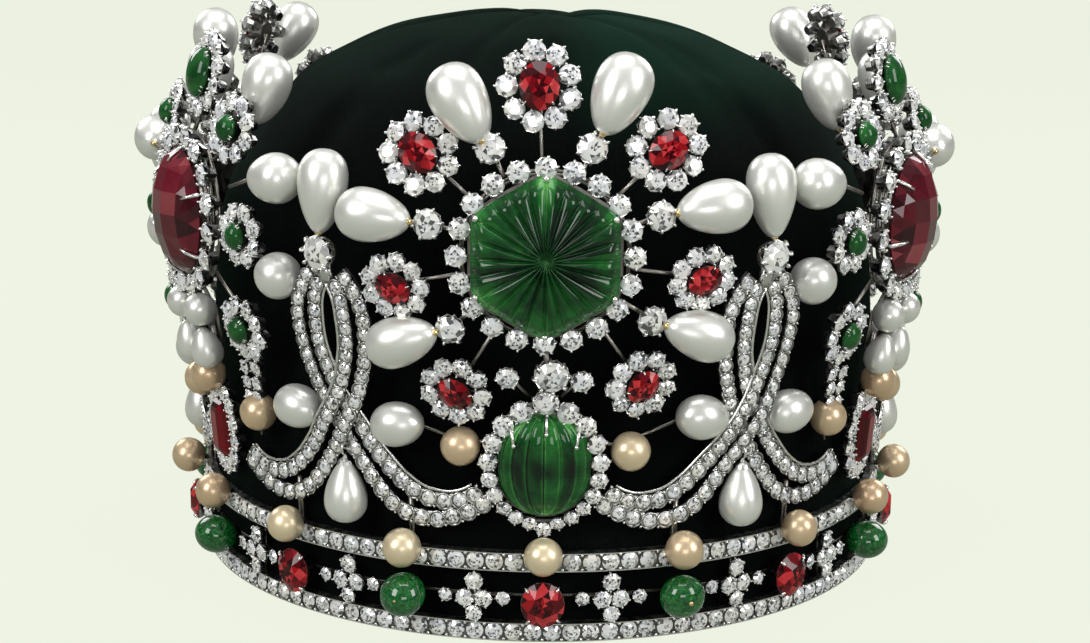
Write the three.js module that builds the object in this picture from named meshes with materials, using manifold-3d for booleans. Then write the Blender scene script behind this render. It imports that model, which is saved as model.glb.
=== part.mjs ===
// A jewelled court crown: a pave-set metal band, six tall ornaments that stand on it (three sunbursts round a carved
// hexagonal green stone, three rosettes round a domed red stone), six crossing-ribbon leaves between them with a hanging
// pearl each, and a puffed velvet cap inside. Millimetres, +Z up, the front sunburst faces -Y, z = 0 is the foot of the band.
import * as THREE from 'three';
import { mergeVertices } from 'three/addons/utils/BufferGeometryUtils.js';
import Module from 'manifold-3d';

const wasm = await Module();
wasm.setup();

// ---- driving dimensions, mm ----
const RAIL_OUT = 89.7;          // outer radius of both rails
const RAIL_IN = 87.6;           // inner radius of both rails
const LOWER_RAIL = [0, 4.6];    // z range
const UPPER_RAIL = [16.9, 21.5];
const GALLERY_R = [87.5, 88.5]; // strut ring between the rails
const STONE_Z = 10.9;           // height of the band stones
const BAND_PEARL = { R: 94.5, z: 22.3, r: 4.4 };
const CAP_WALL = 2.4;
const STATIONS = 18;            // pearls and stones round the band, 20 degrees apart
const SEG = 36;                 // facets round the band
// radius of the metalwork surface against height
const PROFILE = [[0, 88.6], [25, 88.6], [40, 89.5], [52, 91], [62.6, 93.5], [75, 96], [91.7, 98], [103, 97.5], [114, 95], [128, 91.5], [140, 88.5]];
// outer profile of the velvet cap: radius, height
const CAP = [[84.6, 2.2], [84.8, 60], [82.8, 88], [75.2, 106], [62.0, 121.5], [40.0, 132.8], [16.0, 137.4], [0, 138.0]];
// ornaments: [degrees from the ornament's axis, height, ...]
const HEX = { z: 91.7, flats: 30.8, deep: 8.2 };
const HEX_RING = { inner: 17.8, outer: 21.7 };
const FLUTED = { z: 42.8, rx: 10.2, rz: 11.8, deep: 6.8 };
const SUN_CLUSTERS = [[0, 128.0, 9.6], [16.05, 113.3, 8.8], [-16.05, 113.3, 8.8], [20.0, 85.2, 7.4], [-20.0, 85.2, 7.4], [12.4, 62.6, 7.7], [-12.4, 62.6, 7.7]]; // third: radius
const SUN_DROPS = [[10.3, 125.8, 7.4, 117.4, 18.4, 12.2], [21.0, 100.9, 16.2, 100.0, 17.2, 11.6], [19.5, 71.6, 14.0, 75.2, 18.0, 11.2]]; // body centre, narrow end, length, width
const SUN_HOLDERS = [[6.4, 114.0], [14.0, 99.5], [12.8, 76.9]];
const GOLD_PEARL = [11.9, 46.6];
const SIDE_OVAL = [20.9, 51.6];
const RED = { z: 93.4, rx: 12.3, rz: 15.0, deep: 9.2 };
const ROSE_CLUSTERS = [[0, 125.2, 9.4], [11.4, 114.1, 8.3], [-11.4, 114.1, 8.3], [15.2, 91.0, 7.4], [-15.2, 91.0, 7.4], [12.9, 68.2, 8.0], [-12.9, 68.2, 8.0]];
const ROSE_DROP = [12.0, 125.4, 11.0, 117.6], ROSE_OVAL = [22.6, 105.0, 17.2, 104.2], ROSE_ROUND = [21.7, 83.0];
const RUBY_BAR = { z: 38.4, rx: 4.0, rz: 7.2, deep: 4.4 };
const LEAF_STONE = [0, 90.5];
// ribbon centre line, outer and inner strand: degrees from the leaf's axis, height; the other pair is its mirror image
const RIBBON = [[1.2, 84.6], [3.1, 80.8], [3.85, 73.5], [3.1, 64.0], [0.9, 55.0], [-2.2, 46.6], [-5.5, 39.2], [-9.6, 33.2], [-14.2, 31.0], [-18.0, 32.0], [-20.8, 35.6]];
const PENDANT = { R: 91.6, pivotZ: 43.0, top: 40.4, length: 15.2, width: 10.2 };

// ---- materials ----
const mat = (color, roughness, metalness) => new THREE.MeshStandardMaterial({ color, roughness, metalness });
const M = {
  platinum: mat(0xb9bcc0, 0.25, 1.0), pave: mat(0xe4e8ea, 0.15, 0.4), emerald: mat(0x0f5a26, 0.1, 0.0), ruby: mat(0xa00f18, 0.1, 0.0),
  spinel: mat(0x5c0f16, 0.1, 0.0), pearl: mat(0xe9e7df, 0.3, 0.0), gold_pearl: mat(0xd9b98e, 0.3, 0.0), velvet: mat(0x0c1410, 0.95, 0.0), lining: mat(0x1b1d1c, 0.8, 0.0),
};

// ---- surface and frames ----
const rad = THREE.MathUtils.degToRad;
function line(z) {
  const p = PROFILE;
  if (z <= p[0][0]) return p[0][1];
  for (let i = 1; i < p.length; i++) if (z <= p[i][0]) return p[i - 1][1] + (p[i][1] - p[i - 1][1]) * (z - p[i - 1][0]) / (p[i][0] - p[i - 1][0]);
  return p[p.length - 1][1];
}
const surface = (z) => { let s = 0; for (let k = -4; k <= 4; k++) s += line(z + k); return s / 9; };
// Matrix whose x runs round the crown, y up the surface and z out of it, at an angle, a height and a stand-off
function frameAt(deg, z, off = 0) {
  const f = rad(deg), R = surface(z), s = (surface(z + 5) - surface(z - 5)) / 10;
  const er = new THREE.Vector3(Math.sin(f), -Math.cos(f), 0), t = new THREE.Vector3(Math.cos(f), Math.sin(f), 0);
  const n = er.clone().add(new THREE.Vector3(0, 0, -s)).normalize();
  const u = new THREE.Vector3().crossVectors(n, t);
  const P = er.clone().multiplyScalar(R).add(new THREE.Vector3(0, 0, z)).addScaledVector(n, off);
  return new THREE.Matrix4().makeBasis(t, u, n).setPosition(P);
}
const at = (deg, z, off = 0) => new THREE.Vector3().setFromMatrixPosition(frameAt(deg, z, off));
// Point of the plane that touches the surface at (0, z)
const flat = (z, x, y, off) => new THREE.Vector3(x, y, off).applyMatrix4(frameAt(0, z));
const polar = (deg, R, z) => new THREE.Vector3(R * Math.sin(rad(deg)), -R * Math.cos(rad(deg)), z);

// ---- closed shapes ----
function closed(points, faces) {
  const g = new THREE.BufferGeometry();
  g.setAttribute('position', new THREE.BufferAttribute(new Float32Array(points.flat()), 3));
  g.setIndex(faces.flat());
  return g;
}
// A stack of n-sided rings [rx, ry, z] closed flat at both ends
function stack(rings, n, turn = 0) {
  const p = [], f = [];
  rings.forEach(([rx, ry, z]) => { for (let i = 0; i < n; i++) { const a = turn + 2 * Math.PI * i / n; p.push([rx * Math.cos(a), ry * Math.sin(a), z]); } });
  for (let k = 0; k + 1 < rings.length; k++) for (let i = 0; i < n; i++) {
    const a = k * n + i, b = k * n + (i + 1) % n, c = a + n, d = b + n;
    f.push([a, b, d], [a, d, c]);
  }
  const last = (rings.length - 1) * n;
  for (let i = 1; i + 1 < n; i++) { f.push([0, i + 1, i]); f.push([last, last + i, last + i + 1]); }
  return closed(p, f);
}
const gem = (rx, ry, n, low, high, table = 0.62, base = 0.8, turn = 0) => stack([[rx * base, ry * base, low], [rx, ry, low + (high - low) * 0.35], [rx * table, ry * table, high]], n, turn);
const puck = (r, n, low, high, turn = 0) => stack([[r, r, low], [r, r, high]], n, turn);
// Flat ring, possibly oval
function annulus(ix, iy, ox, oy, low, high, n, turn = 0) {
  const p = [], f = [];
  [[ix, iy, low], [ox, oy, low], [ox, oy, high], [ix, iy, high]].forEach(([rx, ry, z]) => { for (let i = 0; i < n; i++) { const a = turn + 2 * Math.PI * i / n; p.push([rx * Math.cos(a), ry * Math.sin(a), z]); } });
  for (let k = 0; k < 4; k++) for (let i = 0; i < n; i++) {
    const a = k * n + i, b = k * n + (i + 1) % n, c = ((k + 1) % 4) * n + i, d = ((k + 1) % 4) * n + (i + 1) % n;
    f.push([a, b, d], [a, d, c]);
  }
  return closed(p, f);
}
// Pear shape along +y: narrow end at -y, centred
function drop(length, width, n = 5, pear = 0.35, steps = [0.75, 1.5, 2.3]) {
  const p = [], f = [], k = 1 + pear * pear * 0.44;
  p.push([0, length / 2, 0]);
  steps.forEach((a) => { const r = width / 2 * Math.sin(a) * (1 + pear * Math.cos(a)) / k * 1.04; for (let i = 0; i < n; i++) { const b = 2 * Math.PI * i / n; p.push([r * Math.cos(b), length / 2 * Math.cos(a), -r * Math.sin(b)]); } });
  p.push([0, -length / 2, 0]);
  for (let i = 0; i < n; i++) f.push([0, 1 + i, 1 + (i + 1) % n]);
  for (let s = 0; s + 1 < steps.length; s++) for (let i = 0; i < n; i++) {
    const a = 1 + s * n + i, b = 1 + s * n + (i + 1) % n, c = a + n, d = b + n;
    f.push([a, d, b], [a, c, d]);
  }
  const e = p.length - 1, o = 1 + (steps.length - 1) * n;
  for (let i = 0; i < n; i++) f.push([e, o + (i + 1) % n, o + i]);
  return closed(p, f);
}
// Rectangular strip through frames, half width across the run and half thickness out of the surface
function strip(path, hw, ht) {
  const p = [], f = [];
  path.forEach((m, i) => {
    const a = new THREE.Vector3().setFromMatrixPosition(path[Math.max(0, i - 1)]), b = new THREE.Vector3().setFromMatrixPosition(path[Math.min(path.length - 1, i + 1)]);
    const n = new THREE.Vector3().setFromMatrixColumn(m, 2), d = b.sub(a).normalize(), s = new THREE.Vector3().crossVectors(d, n).normalize(), c = new THREE.Vector3().setFromMatrixPosition(m);
    [[-1, -1], [1, -1], [1, 1], [-1, 1]].forEach(([x, y]) => p.push(c.clone().addScaledVector(s, x * hw).addScaledVector(n, y * ht).toArray()));
  });
  for (let i = 0; i + 1 < path.length; i++) for (let k = 0; k < 4; k++) { const a = 4 * i + k, b = 4 * i + (k + 1) % 4; f.push([a, b + 4, b], [a, a + 4, b + 4]); }
  f.push([0, 1, 2], [0, 2, 3]);
  const e = 4 * (path.length - 1);
  f.push([e, e + 2, e + 1], [e, e + 3, e + 2]);
  return closed(p, f);
}
// Wire on the surface between points [deg, z], at a stand-off
function wire(points, off, r, step = 17) {
  const path = [];
  points.forEach(([d, z], i) => {
    if (!i) { path.push(frameAt(d, z, off)); return; }
    const [d0, z0] = points[i - 1], n = Math.max(1, Math.round(Math.hypot((d - d0) * 1.65, z - z0) / step / 1.6));
    for (let k = 1; k <= n; k++) path.push(frameAt(d0 + (d - d0) * k / n, z0 + (z - z0) * k / n, off));
  });
  return strip(path, r, r);
}
// Straight four-sided bar between two points
function bar(a, b, r) {
  const d = b.clone().sub(a).normalize(), h = Math.abs(d.z) > 0.9 ? new THREE.Vector3(1, 0, 0) : new THREE.Vector3(0, 0, 1);
  const s = new THREE.Vector3().crossVectors(d, h).normalize(), q = new THREE.Vector3().crossVectors(s, d), p = [];
  [a, b].forEach((c) => [[-1, -1], [1, -1], [1, 1], [-1, 1]].forEach(([x, y]) => p.push(c.clone().addScaledVector(s, x * r).addScaledVector(q, y * r).toArray())));
  const f = [[0, 2, 1], [0, 3, 2], [4, 5, 6], [4, 6, 7]];
  for (let k = 0; k < 4; k++) { const i = k, j = (k + 1) % 4; f.push([i, j, j + 4], [i, j + 4, i + 4]); }
  return closed(p, f);
}
// Hoop of rectangular section round the crown's axis
function hoop(inner, outer, low, high, n = SEG) {
  const shape = [[inner, low], [outer, low], [outer, high], [inner, high], [inner, low]].map(([x, y]) => new THREE.Vector2(x, y));
  return new THREE.LatheGeometry(shape, n).rotateX(Math.PI / 2);
}
function solid(g) {
  let c = g.clone();
  c.deleteAttribute('normal'); c.deleteAttribute('uv');
  c = mergeVertices(c, 1e-4);
  const pos = c.attributes.position.array, idx = c.index.array, tri = [];
  for (let i = 0; i < idx.length; i += 3) if (idx[i] !== idx[i + 1] && idx[i + 1] !== idx[i + 2] && idx[i] !== idx[i + 2]) tri.push(idx[i], idx[i + 1], idx[i + 2]);
  let m = new wasm.Manifold(new wasm.Mesh({ numProp: 3, vertProperties: new Float32Array(pos), triVerts: new Uint32Array(tri) }));
  if (m.volume() < 0) { // wrong way round
    for (let i = 0; i < tri.length; i += 3) [tri[i], tri[i + 1]] = [tri[i + 1], tri[i]];
    m = new wasm.Manifold(new wasm.Mesh({ numProp: 3, vertProperties: new Float32Array(pos), triVerts: new Uint32Array(tri) }));
  }
  return m;
}
function joined(list, turn = 0) {
  let m = solid(list[0]);
  for (let i = 1; i < list.length; i++) m = m.add(solid(list[i]));
  const r = m.getMesh(), g = new THREE.BufferGeometry();
  g.setAttribute('position', new THREE.BufferAttribute(new Float32Array(r.vertProperties), 3));
  g.setIndex(new THREE.BufferAttribute(new Uint32Array(r.triVerts), 1));
  g.rotateZ(rad(turn));
  g.computeVertexNormals();
  return g;
}
const put = (g, deg, z, off = 0, roll = 0) => g.rotateZ(rad(roll)).applyMatrix4(frameAt(deg, z, off));
const peg = (d, z) => bar(at(d, z, -3.6), at(d, z, 1), 0.5);
// drop lying on the surface, from its body's centre and the point its narrow end points to
function putDrop(length, width, d, z, dn, zn, off) {
  const dx = (dn - d) * rad(1) * surface(z), dz = zn - z, roll = Math.atan2(-dz, -dx) * 180 / Math.PI - 90;
  return put(drop(length, width), d, z, off, roll);
}

const crown = new THREE.Group();
function add(name, geometry, material) {
  const mesh = new THREE.Mesh(geometry, material);
  mesh.name = name;
  crown.add(mesh);
}

// ---- band ----
add('lower_rail', joined([hoop(RAIL_IN, RAIL_OUT, ...LOWER_RAIL)]), M.pave);
add('upper_rail', joined([hoop(RAIL_IN, RAIL_OUT, ...UPPER_RAIL)]), M.pave);
{
  const g = [hoop(GALLERY_R[0], GALLERY_R[1], 10.3, 11.5)];
  for (let k = 0; k < STATIONS; k++) g.push(bar(polar(20 * k + 10, 88.0, LOWER_RAIL[1] + 0.3), polar(20 * k + 10, 88.0, UPPER_RAIL[0] - 0.3), 0.45));
  add('band_struts', joined(g), M.platinum);
}
{
  const g = [hoop(88.9, 89.7, 10.4, 11.4)];
  for (let k = 0; k < STATIONS; k++) {
    const d = 20 * k;
    const s = k % 2 ? stack([[3.6, 3.6, -0.6], [5.4, 5.4, 4.1], [3.2, 3.2, 8.8]], 6, Math.PI / 6) : gem(5.2, 5.2, 6, 0, 5.4, 0.66, 0.7, Math.PI / 6);
    g.push(put(s, d, STONE_Z, 0.9));
    g.push(put(puck(4.9, 4, 0, 2.2), d + 10, STONE_Z, 0.9, 0));
  }
  add('band_stones', joined(g), M.ruby);
}
{
  const g = [hoop(90.05, 90.85, 21.8, 22.8)];
  for (let k = 0; k < STATIONS; k++) g.push(drop(2 * BAND_PEARL.r, 2 * BAND_PEARL.r, 6, 0, [0.8, Math.PI / 2, Math.PI - 0.8]).rotateX(Math.PI / 2).translate(0, -BAND_PEARL.R, BAND_PEARL.z).rotateZ(rad(20 * k)));
  add('band_pearls', joined(g), M.gold_pearl);
}

// ---- velvet cap and its head band ----
{
  const out = CAP.map(([r, z]) => new THREE.Vector2(r, z)), inn = CAP.map(([r, z]) => new THREE.Vector2(r ? r - CAP_WALL : 0, z === 138.0 ? z - CAP_WALL : z > 90 ? z - CAP_WALL * 0.7 : z)).reverse();
  const profile = [...inn, ...out];
  add('velvet_cap', joined([new THREE.LatheGeometry(profile, 24).rotateX(Math.PI / 2)]), M.velvet);
  add('head_band', joined([hoop(80.6, 81.8, 2.4, 24, 24)]), M.lining);
}

// ---- three sunbursts ----
for (let m = 0; m < 3; m++) {
  const T = 120 * m, N = ['front', 'right', 'left'][m];
  const hz = HEX.z;
  // frame: ring of stones round the hexagon, six pearl holders, the drop to the fluted stone and the ring round that
  let g = [put(annulus(HEX_RING.inner, HEX_RING.inner, HEX_RING.outer, HEX_RING.outer, 0, 2.6, 12, Math.PI / 12), 0, hz)];
  SUN_HOLDERS.forEach(([d, z]) => [1, -1].forEach((s) => {
    const x = s * d * rad(1) * 97, y = z - hz, k = (HEX_RING.outer - 1.5) / Math.hypot(x, y);
    g.push(put(puck(2.6, 5, 0.2, 4.2), s * d, z), bar(at(s * d, z, 1.6), flat(hz, x * k, y * k, 1.3), 0.5));
  }));
  g.push(put(puck(3.6, 6, 0, 4.4), 0, 65.4), put(puck(2.7, 5, 0, 3.6), 0, 58.9), bar(flat(hz, 0, -19.5, 1.3), at(0, 65.4, 1.6), 0.8), bar(at(0, 65.4, 1.6), flat(FLUTED.z, 0, 14.4, 1.2), 0.8));
  g.push(put(puck(2.4, 5, 0, 3.2), 5.3, 64.3), put(puck(2.4, 5, 0, 3.2), -5.3, 64.3), wire([[-5.3, 64.3], [5.3, 64.3]], 0.9, 0.5, 5));
  g.push(put(annulus(FLUTED.rx + 0.7, FLUTED.rz + 0.7, 14.0, 16.2, 0, 2.4, 10), 0, FLUTED.z));
  add(`sunburst_frame_${N}`, joined(g, T), M.platinum);
  add(`hexagon_emerald_${N}`, joined([put(stack([[13.5, 13.5, 0.2], [17.3, 17.3, 3.4], [14.8, 14.8, 6.6], [9.5, 9.5, HEX.deep]], 6, Math.PI / 6), 0, hz)], T), M.emerald);
  add(`fluted_emerald_${N}`, joined([put(gem(FLUTED.rx, FLUTED.rz, 10, 0.2, FLUTED.deep, 0.6, 0.75), 0, FLUTED.z)], T), M.emerald);
  // seven ruby clusters on wires from a ring behind the hexagon
  const ray = (d, z, off, r, end = off) => bar(at(0, hz, off), at(d, z, end), r);
  g = [put(puck(3.2, 7, -2.1, -0.1), 0, hz)];
  SUN_CLUSTERS.forEach(([d, z, r]) => g.push(put(stack([[r, r, -1.0], [r, r, 2.6], [4.4, 5.0, 2.8], [2.8, 3.4, 5.0]], 6, Math.PI / 6), d, z), ray(d, z, -1.1, 0.5, 0.6)));
  add(`ruby_spray_${N}`, joined(g, T), M.ruby);
  // six pear-shaped pearls, two golden pearls and two oval pearls on wires behind the rubies
  g = [put(puck(3.2, 8, -4.3, -2.5), 0, hz)];
  [1, -1].forEach((s) => {
    SUN_DROPS.forEach(([d, z, dn, zn, l, w]) => g.push(putDrop(l, w, s * d, z, s * dn, zn, 3.4), ray(s * d, z, -3.4, 0.55, 0)));
    g.push(bar(at(0, hz, -3.4), at(s * GOLD_PEARL[0], GOLD_PEARL[1], -2), 0.55), bar(at(s * GOLD_PEARL[0], GOLD_PEARL[1], -2), at(s * SIDE_OVAL[0], SIDE_OVAL[1], -2), 0.55));
    g.push(put(stack([[2.6, 2.6, -4.0], [4.6, 4.6, 0.5], [2.6, 2.6, 5.0]], 5), s * GOLD_PEARL[0], GOLD_PEARL[1], 0.8));
    g.push(put(stack([[3.8, 3.0, -3.9], [6.4, 5.1, 0.5], [3.8, 3.0, 5.2]], 6), s * SIDE_OVAL[0], SIDE_OVAL[1], 0.6));
  });
  add(`pearl_spray_${N}`, joined(g, T), M.pearl);
}

// ---- three rosettes ----
for (let m = 0; m < 3; m++) {
  const T = 60 + 120 * m, N = ['right', 'back', 'left'][m], rz = RED.z;
  const ray = (d, z, off, r, end = off) => bar(at(0, rz, off), at(d, z, end), r);
  // frame: ring round the red stone, stem with the four hanging pearls' bar, ring round the ruby bar
  let g = [put(annulus(RED.rx + 0.7, RED.rz + 0.8, RED.rx + 4.6, RED.rz + 4.6, 0, 2.6, 12, Math.PI / 12), 0, rz)];
  g.push(bar(flat(rz, 0, -17.5, 1.3), at(0, 64, 1.2), 0.6), bar(at(0, 64, 1.2), flat(RUBY_BAR.z, 0, 10, 1.2), 0.6), put(annulus(RUBY_BAR.rx + 0.9, RUBY_BAR.rz + 1.4, RUBY_BAR.rx + 4.8, RUBY_BAR.rz + 4.8, 0, 2.4, 8, Math.PI / 8), 0, RUBY_BAR.z));
  add(`rosette_frame_${N}`, joined(g, T), M.platinum);
  add(`red_stone_${N}`, joined([put(stack([[9, 11.6, 0.2], [RED.rx, RED.rz, 2.8], [10.4, 12.8, 6.2], [5.5, 7.4, RED.deep]], 12, Math.PI / 12), 0, rz)], T), M.spinel);
  add(`ruby_bar_${N}`, joined([put(stack([[RUBY_BAR.rx * 0.8, RUBY_BAR.rz * 0.85, 0.2], [RUBY_BAR.rx, RUBY_BAR.rz, 2.2], [RUBY_BAR.rx * 0.6, RUBY_BAR.rz * 0.75, RUBY_BAR.deep]], 8, Math.PI / 8), 0, RUBY_BAR.z)], T), M.ruby);
  g = [put(puck(3.2, 7, -2.1, -0.1), 0, rz)];
  ROSE_CLUSTERS.forEach(([d, z, r], i) => g.push(put(stack([[r, r, -1.0], [r, r, 2.6], ...(i ? [[3.4, 3.4, 2.8], [2.0, 2.0, 5.4]] : [[4.8, 6.2, 2.8], [3.0, 4.2, 5.8]])], 6, Math.PI / 6), d, z), ray(d, z, -1.1, 0.5, 0.6)));
  add(`emerald_spray_${N}`, joined(g, T), M.emerald);
  g = [put(puck(3.2, 8, -4.3, -2.5), 0, rz)];
  [1, -1].forEach((s) => {
    g.push(putDrop(17.0, 11.6, s * ROSE_DROP[0], ROSE_DROP[1], s * ROSE_DROP[2], ROSE_DROP[3], -5.7), ray(s * ROSE_DROP[0], ROSE_DROP[1], -3.4, 0.55));
    g.push(putDrop(13.2, 11.4, s * ROSE_OVAL[0], ROSE_OVAL[1], s * ROSE_OVAL[2], ROSE_OVAL[3], 3.2), ray(s * ROSE_OVAL[0], ROSE_OVAL[1], -3.4, 0.55, 0));
    g.push(put(stack([[3.2, 3.2, -4.2], [5.4, 5.4, 0.6], [3.2, 3.2, 5.4]], 6), s * ROSE_ROUND[0], ROSE_ROUND[1], 0.8), ray(s * ROSE_ROUND[0], ROSE_ROUND[1], -3.4, 0.55, -1));
    g.push(bar(at(0, rz, -3.4), at(s * 3.2, 70.4, -3.4), 0.55), bar(at(s * 3.2, 70.4, -3.4), at(s * 3.1, 61.2, -3.4), 0.55), bar(at(s * 3.1, 61.2, -3.4), at(s * GOLD_PEARL[0], GOLD_PEARL[1], -2), 0.55), bar(at(s * GOLD_PEARL[0], GOLD_PEARL[1], -2), at(s * SIDE_OVAL[0], SIDE_OVAL[1], -2), 0.55));
    g.push(put(stack([[2.3, 2.3, -3.9], [4.0, 4.0, 0], [2.3, 2.3, 3.9]], 5), s * 3.2, 70.4, 3.9, 0));
    g.push(put(stack([[2.3, 3.0, -3.9], [3.8, 5.0, 0], [2.2, 2.8, 3.7]], 5), s * 3.1, 61.2, 3.9, 0));
    g.push(peg(s * 3.2, 70.4), peg(s * 3.1, 61.2));
    g.push(put(stack([[2.6, 2.6, -4.0], [4.5, 4.5, 0.5], [2.6, 2.6, 5.0]], 5), s * GOLD_PEARL[0], GOLD_PEARL[1], 0.8));
    g.push(put(stack([[3.8, 3.0, -3.9], [6.4, 5.1, 0.5], [3.8, 3.0, 5.2]], 6), s * SIDE_OVAL[0], SIDE_OVAL[1], 0.6));
  });
  add(`rosette_pearls_${N}`, joined(g, T), M.pearl);
}

// ---- six crossing-ribbon leaves, each with a pearl standing on its top stone and a pearl hanging under the crossing ----
for (let m = 0; m < 6; m++) {
  const T = 30 + 60 * m, N = m + 1;
  const path = (s) => RIBBON.map(([d, z]) => frameAt(s * d, z, 0.9));
  let g = [strip(path(1), 2.9, 0.9), strip(path(-1), 2.9, 0.9), put(puck(3.7, 8, 0, 5.2, Math.PI / 8), 0, LEAF_STONE[1]), wire([[0, 90], [0, 83.5]], 1.0, 1.6, 30)];
  // eye for the hanging pearl: two wires down to a cross bar
  const lug = (x, z) => new THREE.Vector3(x, -PENDANT.R, z);
  g.push(bar(lug(-1.7, PENDANT.pivotZ - 0.35), lug(-1.7, 49.5), 0.35), bar(lug(1.7, PENDANT.pivotZ - 0.35), lug(1.7, 49.5), 0.35), bar(lug(-1.9, PENDANT.pivotZ), lug(1.9, PENDANT.pivotZ), 0.35));
  // two short posts from the swags to the upper rail
  [1, -1].forEach((s) => g.push(bar(at(s * 10.2, UPPER_RAIL[1] + 0.3, 0), at(s * 10.2, 33, 0.4), 0.5)));
  add(`ribbon_leaf_${N}`, joined(g, T), M.pave);
  add(`leaf_pearl_${N}`, joined([put(drop(17.6, 10.6, 6), 0, 104.9, 0.6)], T), M.pearl);
  const ring = new THREE.TorusGeometry(1.3, 0.35, 4, 8).rotateY(Math.PI / 2).translate(0, -PENDANT.R, PENDANT.pivotZ);
  const pearl = drop(PENDANT.length, PENDANT.width, 6).rotateX(-Math.PI / 2).rotateX(Math.PI).translate(0, -PENDANT.R, PENDANT.top - PENDANT.length / 2);
  add(`hanging_pearl_${N}`, joined([ring, bar(lug(0, PENDANT.top - 1.5), lug(0, PENDANT.pivotZ - 1.1), 0.4), pearl], T), M.pearl);
}

export default crown;
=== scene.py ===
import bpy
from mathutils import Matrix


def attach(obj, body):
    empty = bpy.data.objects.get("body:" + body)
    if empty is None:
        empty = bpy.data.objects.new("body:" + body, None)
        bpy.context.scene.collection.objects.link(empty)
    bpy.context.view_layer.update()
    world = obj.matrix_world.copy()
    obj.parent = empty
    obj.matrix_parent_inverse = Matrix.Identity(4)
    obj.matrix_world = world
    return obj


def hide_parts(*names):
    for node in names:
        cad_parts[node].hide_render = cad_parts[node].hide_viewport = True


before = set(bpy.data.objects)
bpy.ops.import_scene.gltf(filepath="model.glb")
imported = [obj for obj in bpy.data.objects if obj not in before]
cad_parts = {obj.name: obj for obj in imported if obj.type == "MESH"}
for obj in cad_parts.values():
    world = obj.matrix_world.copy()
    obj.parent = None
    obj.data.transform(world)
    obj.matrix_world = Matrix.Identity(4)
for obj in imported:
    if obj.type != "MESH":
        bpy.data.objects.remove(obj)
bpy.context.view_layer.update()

import math
import bpy
import numpy as np
from mathutils import Matrix, Vector

rng = np.random.default_rng(7)
MM = 0.001

# ---------------------------------------------------------------- sizes, millimetres, as in the CAD part
RAIL_OUT, RAIL_IN = 89.7, 87.6
LOWER_RAIL, UPPER_RAIL = (0.0, 4.6), (16.9, 21.5)
STONE_Z, STATIONS = 10.9, 18
BAND_PEARL = dict(R=94.5, z=22.3, r=4.4)
PROFILE = [(0, 88.6), (25, 88.6), (40, 89.5), (52, 91), (62.6, 93.5), (75, 96), (91.7, 98), (103, 97.5), (114, 95), (128, 91.5), (140, 88.5)]
CAP = [(84.6, 2.2), (84.8, 60), (82.8, 88), (75.2, 106), (62.0, 121.5), (40.0, 132.8), (16.0, 137.4), (0, 138.0)]
HEX_Z, FLUTED_Z, RED_Z, BAR_Z = 91.7, 42.8, 93.4, 38.4
PENDANT = dict(R=91.6, pivot=43.0, top=40.4, length=15.2, width=10.2)

# ---------------------------------------------------------------- camera, first
def make_camera():
    data = bpy.data.cameras.new("camera")
    data.sensor_fit = "HORIZONTAL"
    data.sensor_width = 36.0
    data.lens = 1953.16 / 1090 * 36.0
    data.shift_x = 0.0021
    data.clip_start, data.clip_end = 0.01, 50
    cam = bpy.data.objects.new("camera", data)
    bpy.context.scene.collection.objects.link(cam)
    place = Matrix.Translation((0, -0.5122, 0.1708)) @ Matrix.Rotation(math.pi / 2 - 0.22148, 4, "X") @ Matrix.Rotation(0.01126, 4, "Z")
    cam.matrix_world = Matrix.Rotation(-0.0077, 4, "Z") @ place
    bpy.context.scene.camera = cam
make_camera()

# ---------------------------------------------------------------- the surface the jewels stand on
def _line(z):
    p = PROFILE
    if z <= p[0][0]:
        return p[0][1]
    for (z0, r0), (z1, r1) in zip(p, p[1:]):
        if z <= z1:
            return r0 + (r1 - r0) * (z - z0) / (z1 - z0)
    return p[-1][1]

def surface(z):
    return sum(_line(z + k) for k in range(-4, 5)) / 9

def frame_at(deg, z, off=0.0):
    f, R, s = math.radians(deg), surface(z), (surface(z + 5) - surface(z - 5)) / 10
    er, t = np.array([math.sin(f), -math.cos(f), 0.0]), np.array([math.cos(f), math.sin(f), 0.0])
    n = er + np.array([0, 0, -s])
    n /= np.linalg.norm(n)
    M = np.eye(4)
    M[:3, 0], M[:3, 1], M[:3, 2] = t, np.cross(n, t), n
    M[:3, 3] = er * R + np.array([0, 0, z]) + n * off
    return M

def rotz(a):
    c, s = math.cos(a), math.sin(a)
    return np.array([[c, -s, 0, 0], [s, c, 0, 0], [0, 0, 1, 0], [0, 0, 0, 1.0]])
def rotx(a):
    c, s = math.cos(a), math.sin(a)
    return np.array([[1, 0, 0, 0], [0, c, -s, 0], [0, s, c, 0], [0, 0, 0, 1.0]])
def roty(a):
    c, s = math.cos(a), math.sin(a)
    return np.array([[c, 0, s, 0], [0, 1, 0, 0], [-s, 0, c, 0], [0, 0, 0, 1.0]])
def move(x, y, z):
    M = np.eye(4); M[:3, 3] = (x, y, z); return M
def scale(x, y=None, z=None):
    return np.diag([x, x if y is None else y, x if z is None else z, 1.0])
def band_at(deg, R, z):
    """x round, y up, z outwards, on an upright cylinder"""
    f = math.radians(deg)
    M = np.eye(4)
    M[:3, 0], M[:3, 1], M[:3, 2] = (math.cos(f), math.sin(f), 0), (0, 0, 1), (math.sin(f), -math.cos(f), 0)
    M[:3, 3] = (R * math.sin(f), -R * math.cos(f), z)
    return M
def turn(deg):
    return rotz(math.radians(deg))

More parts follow.
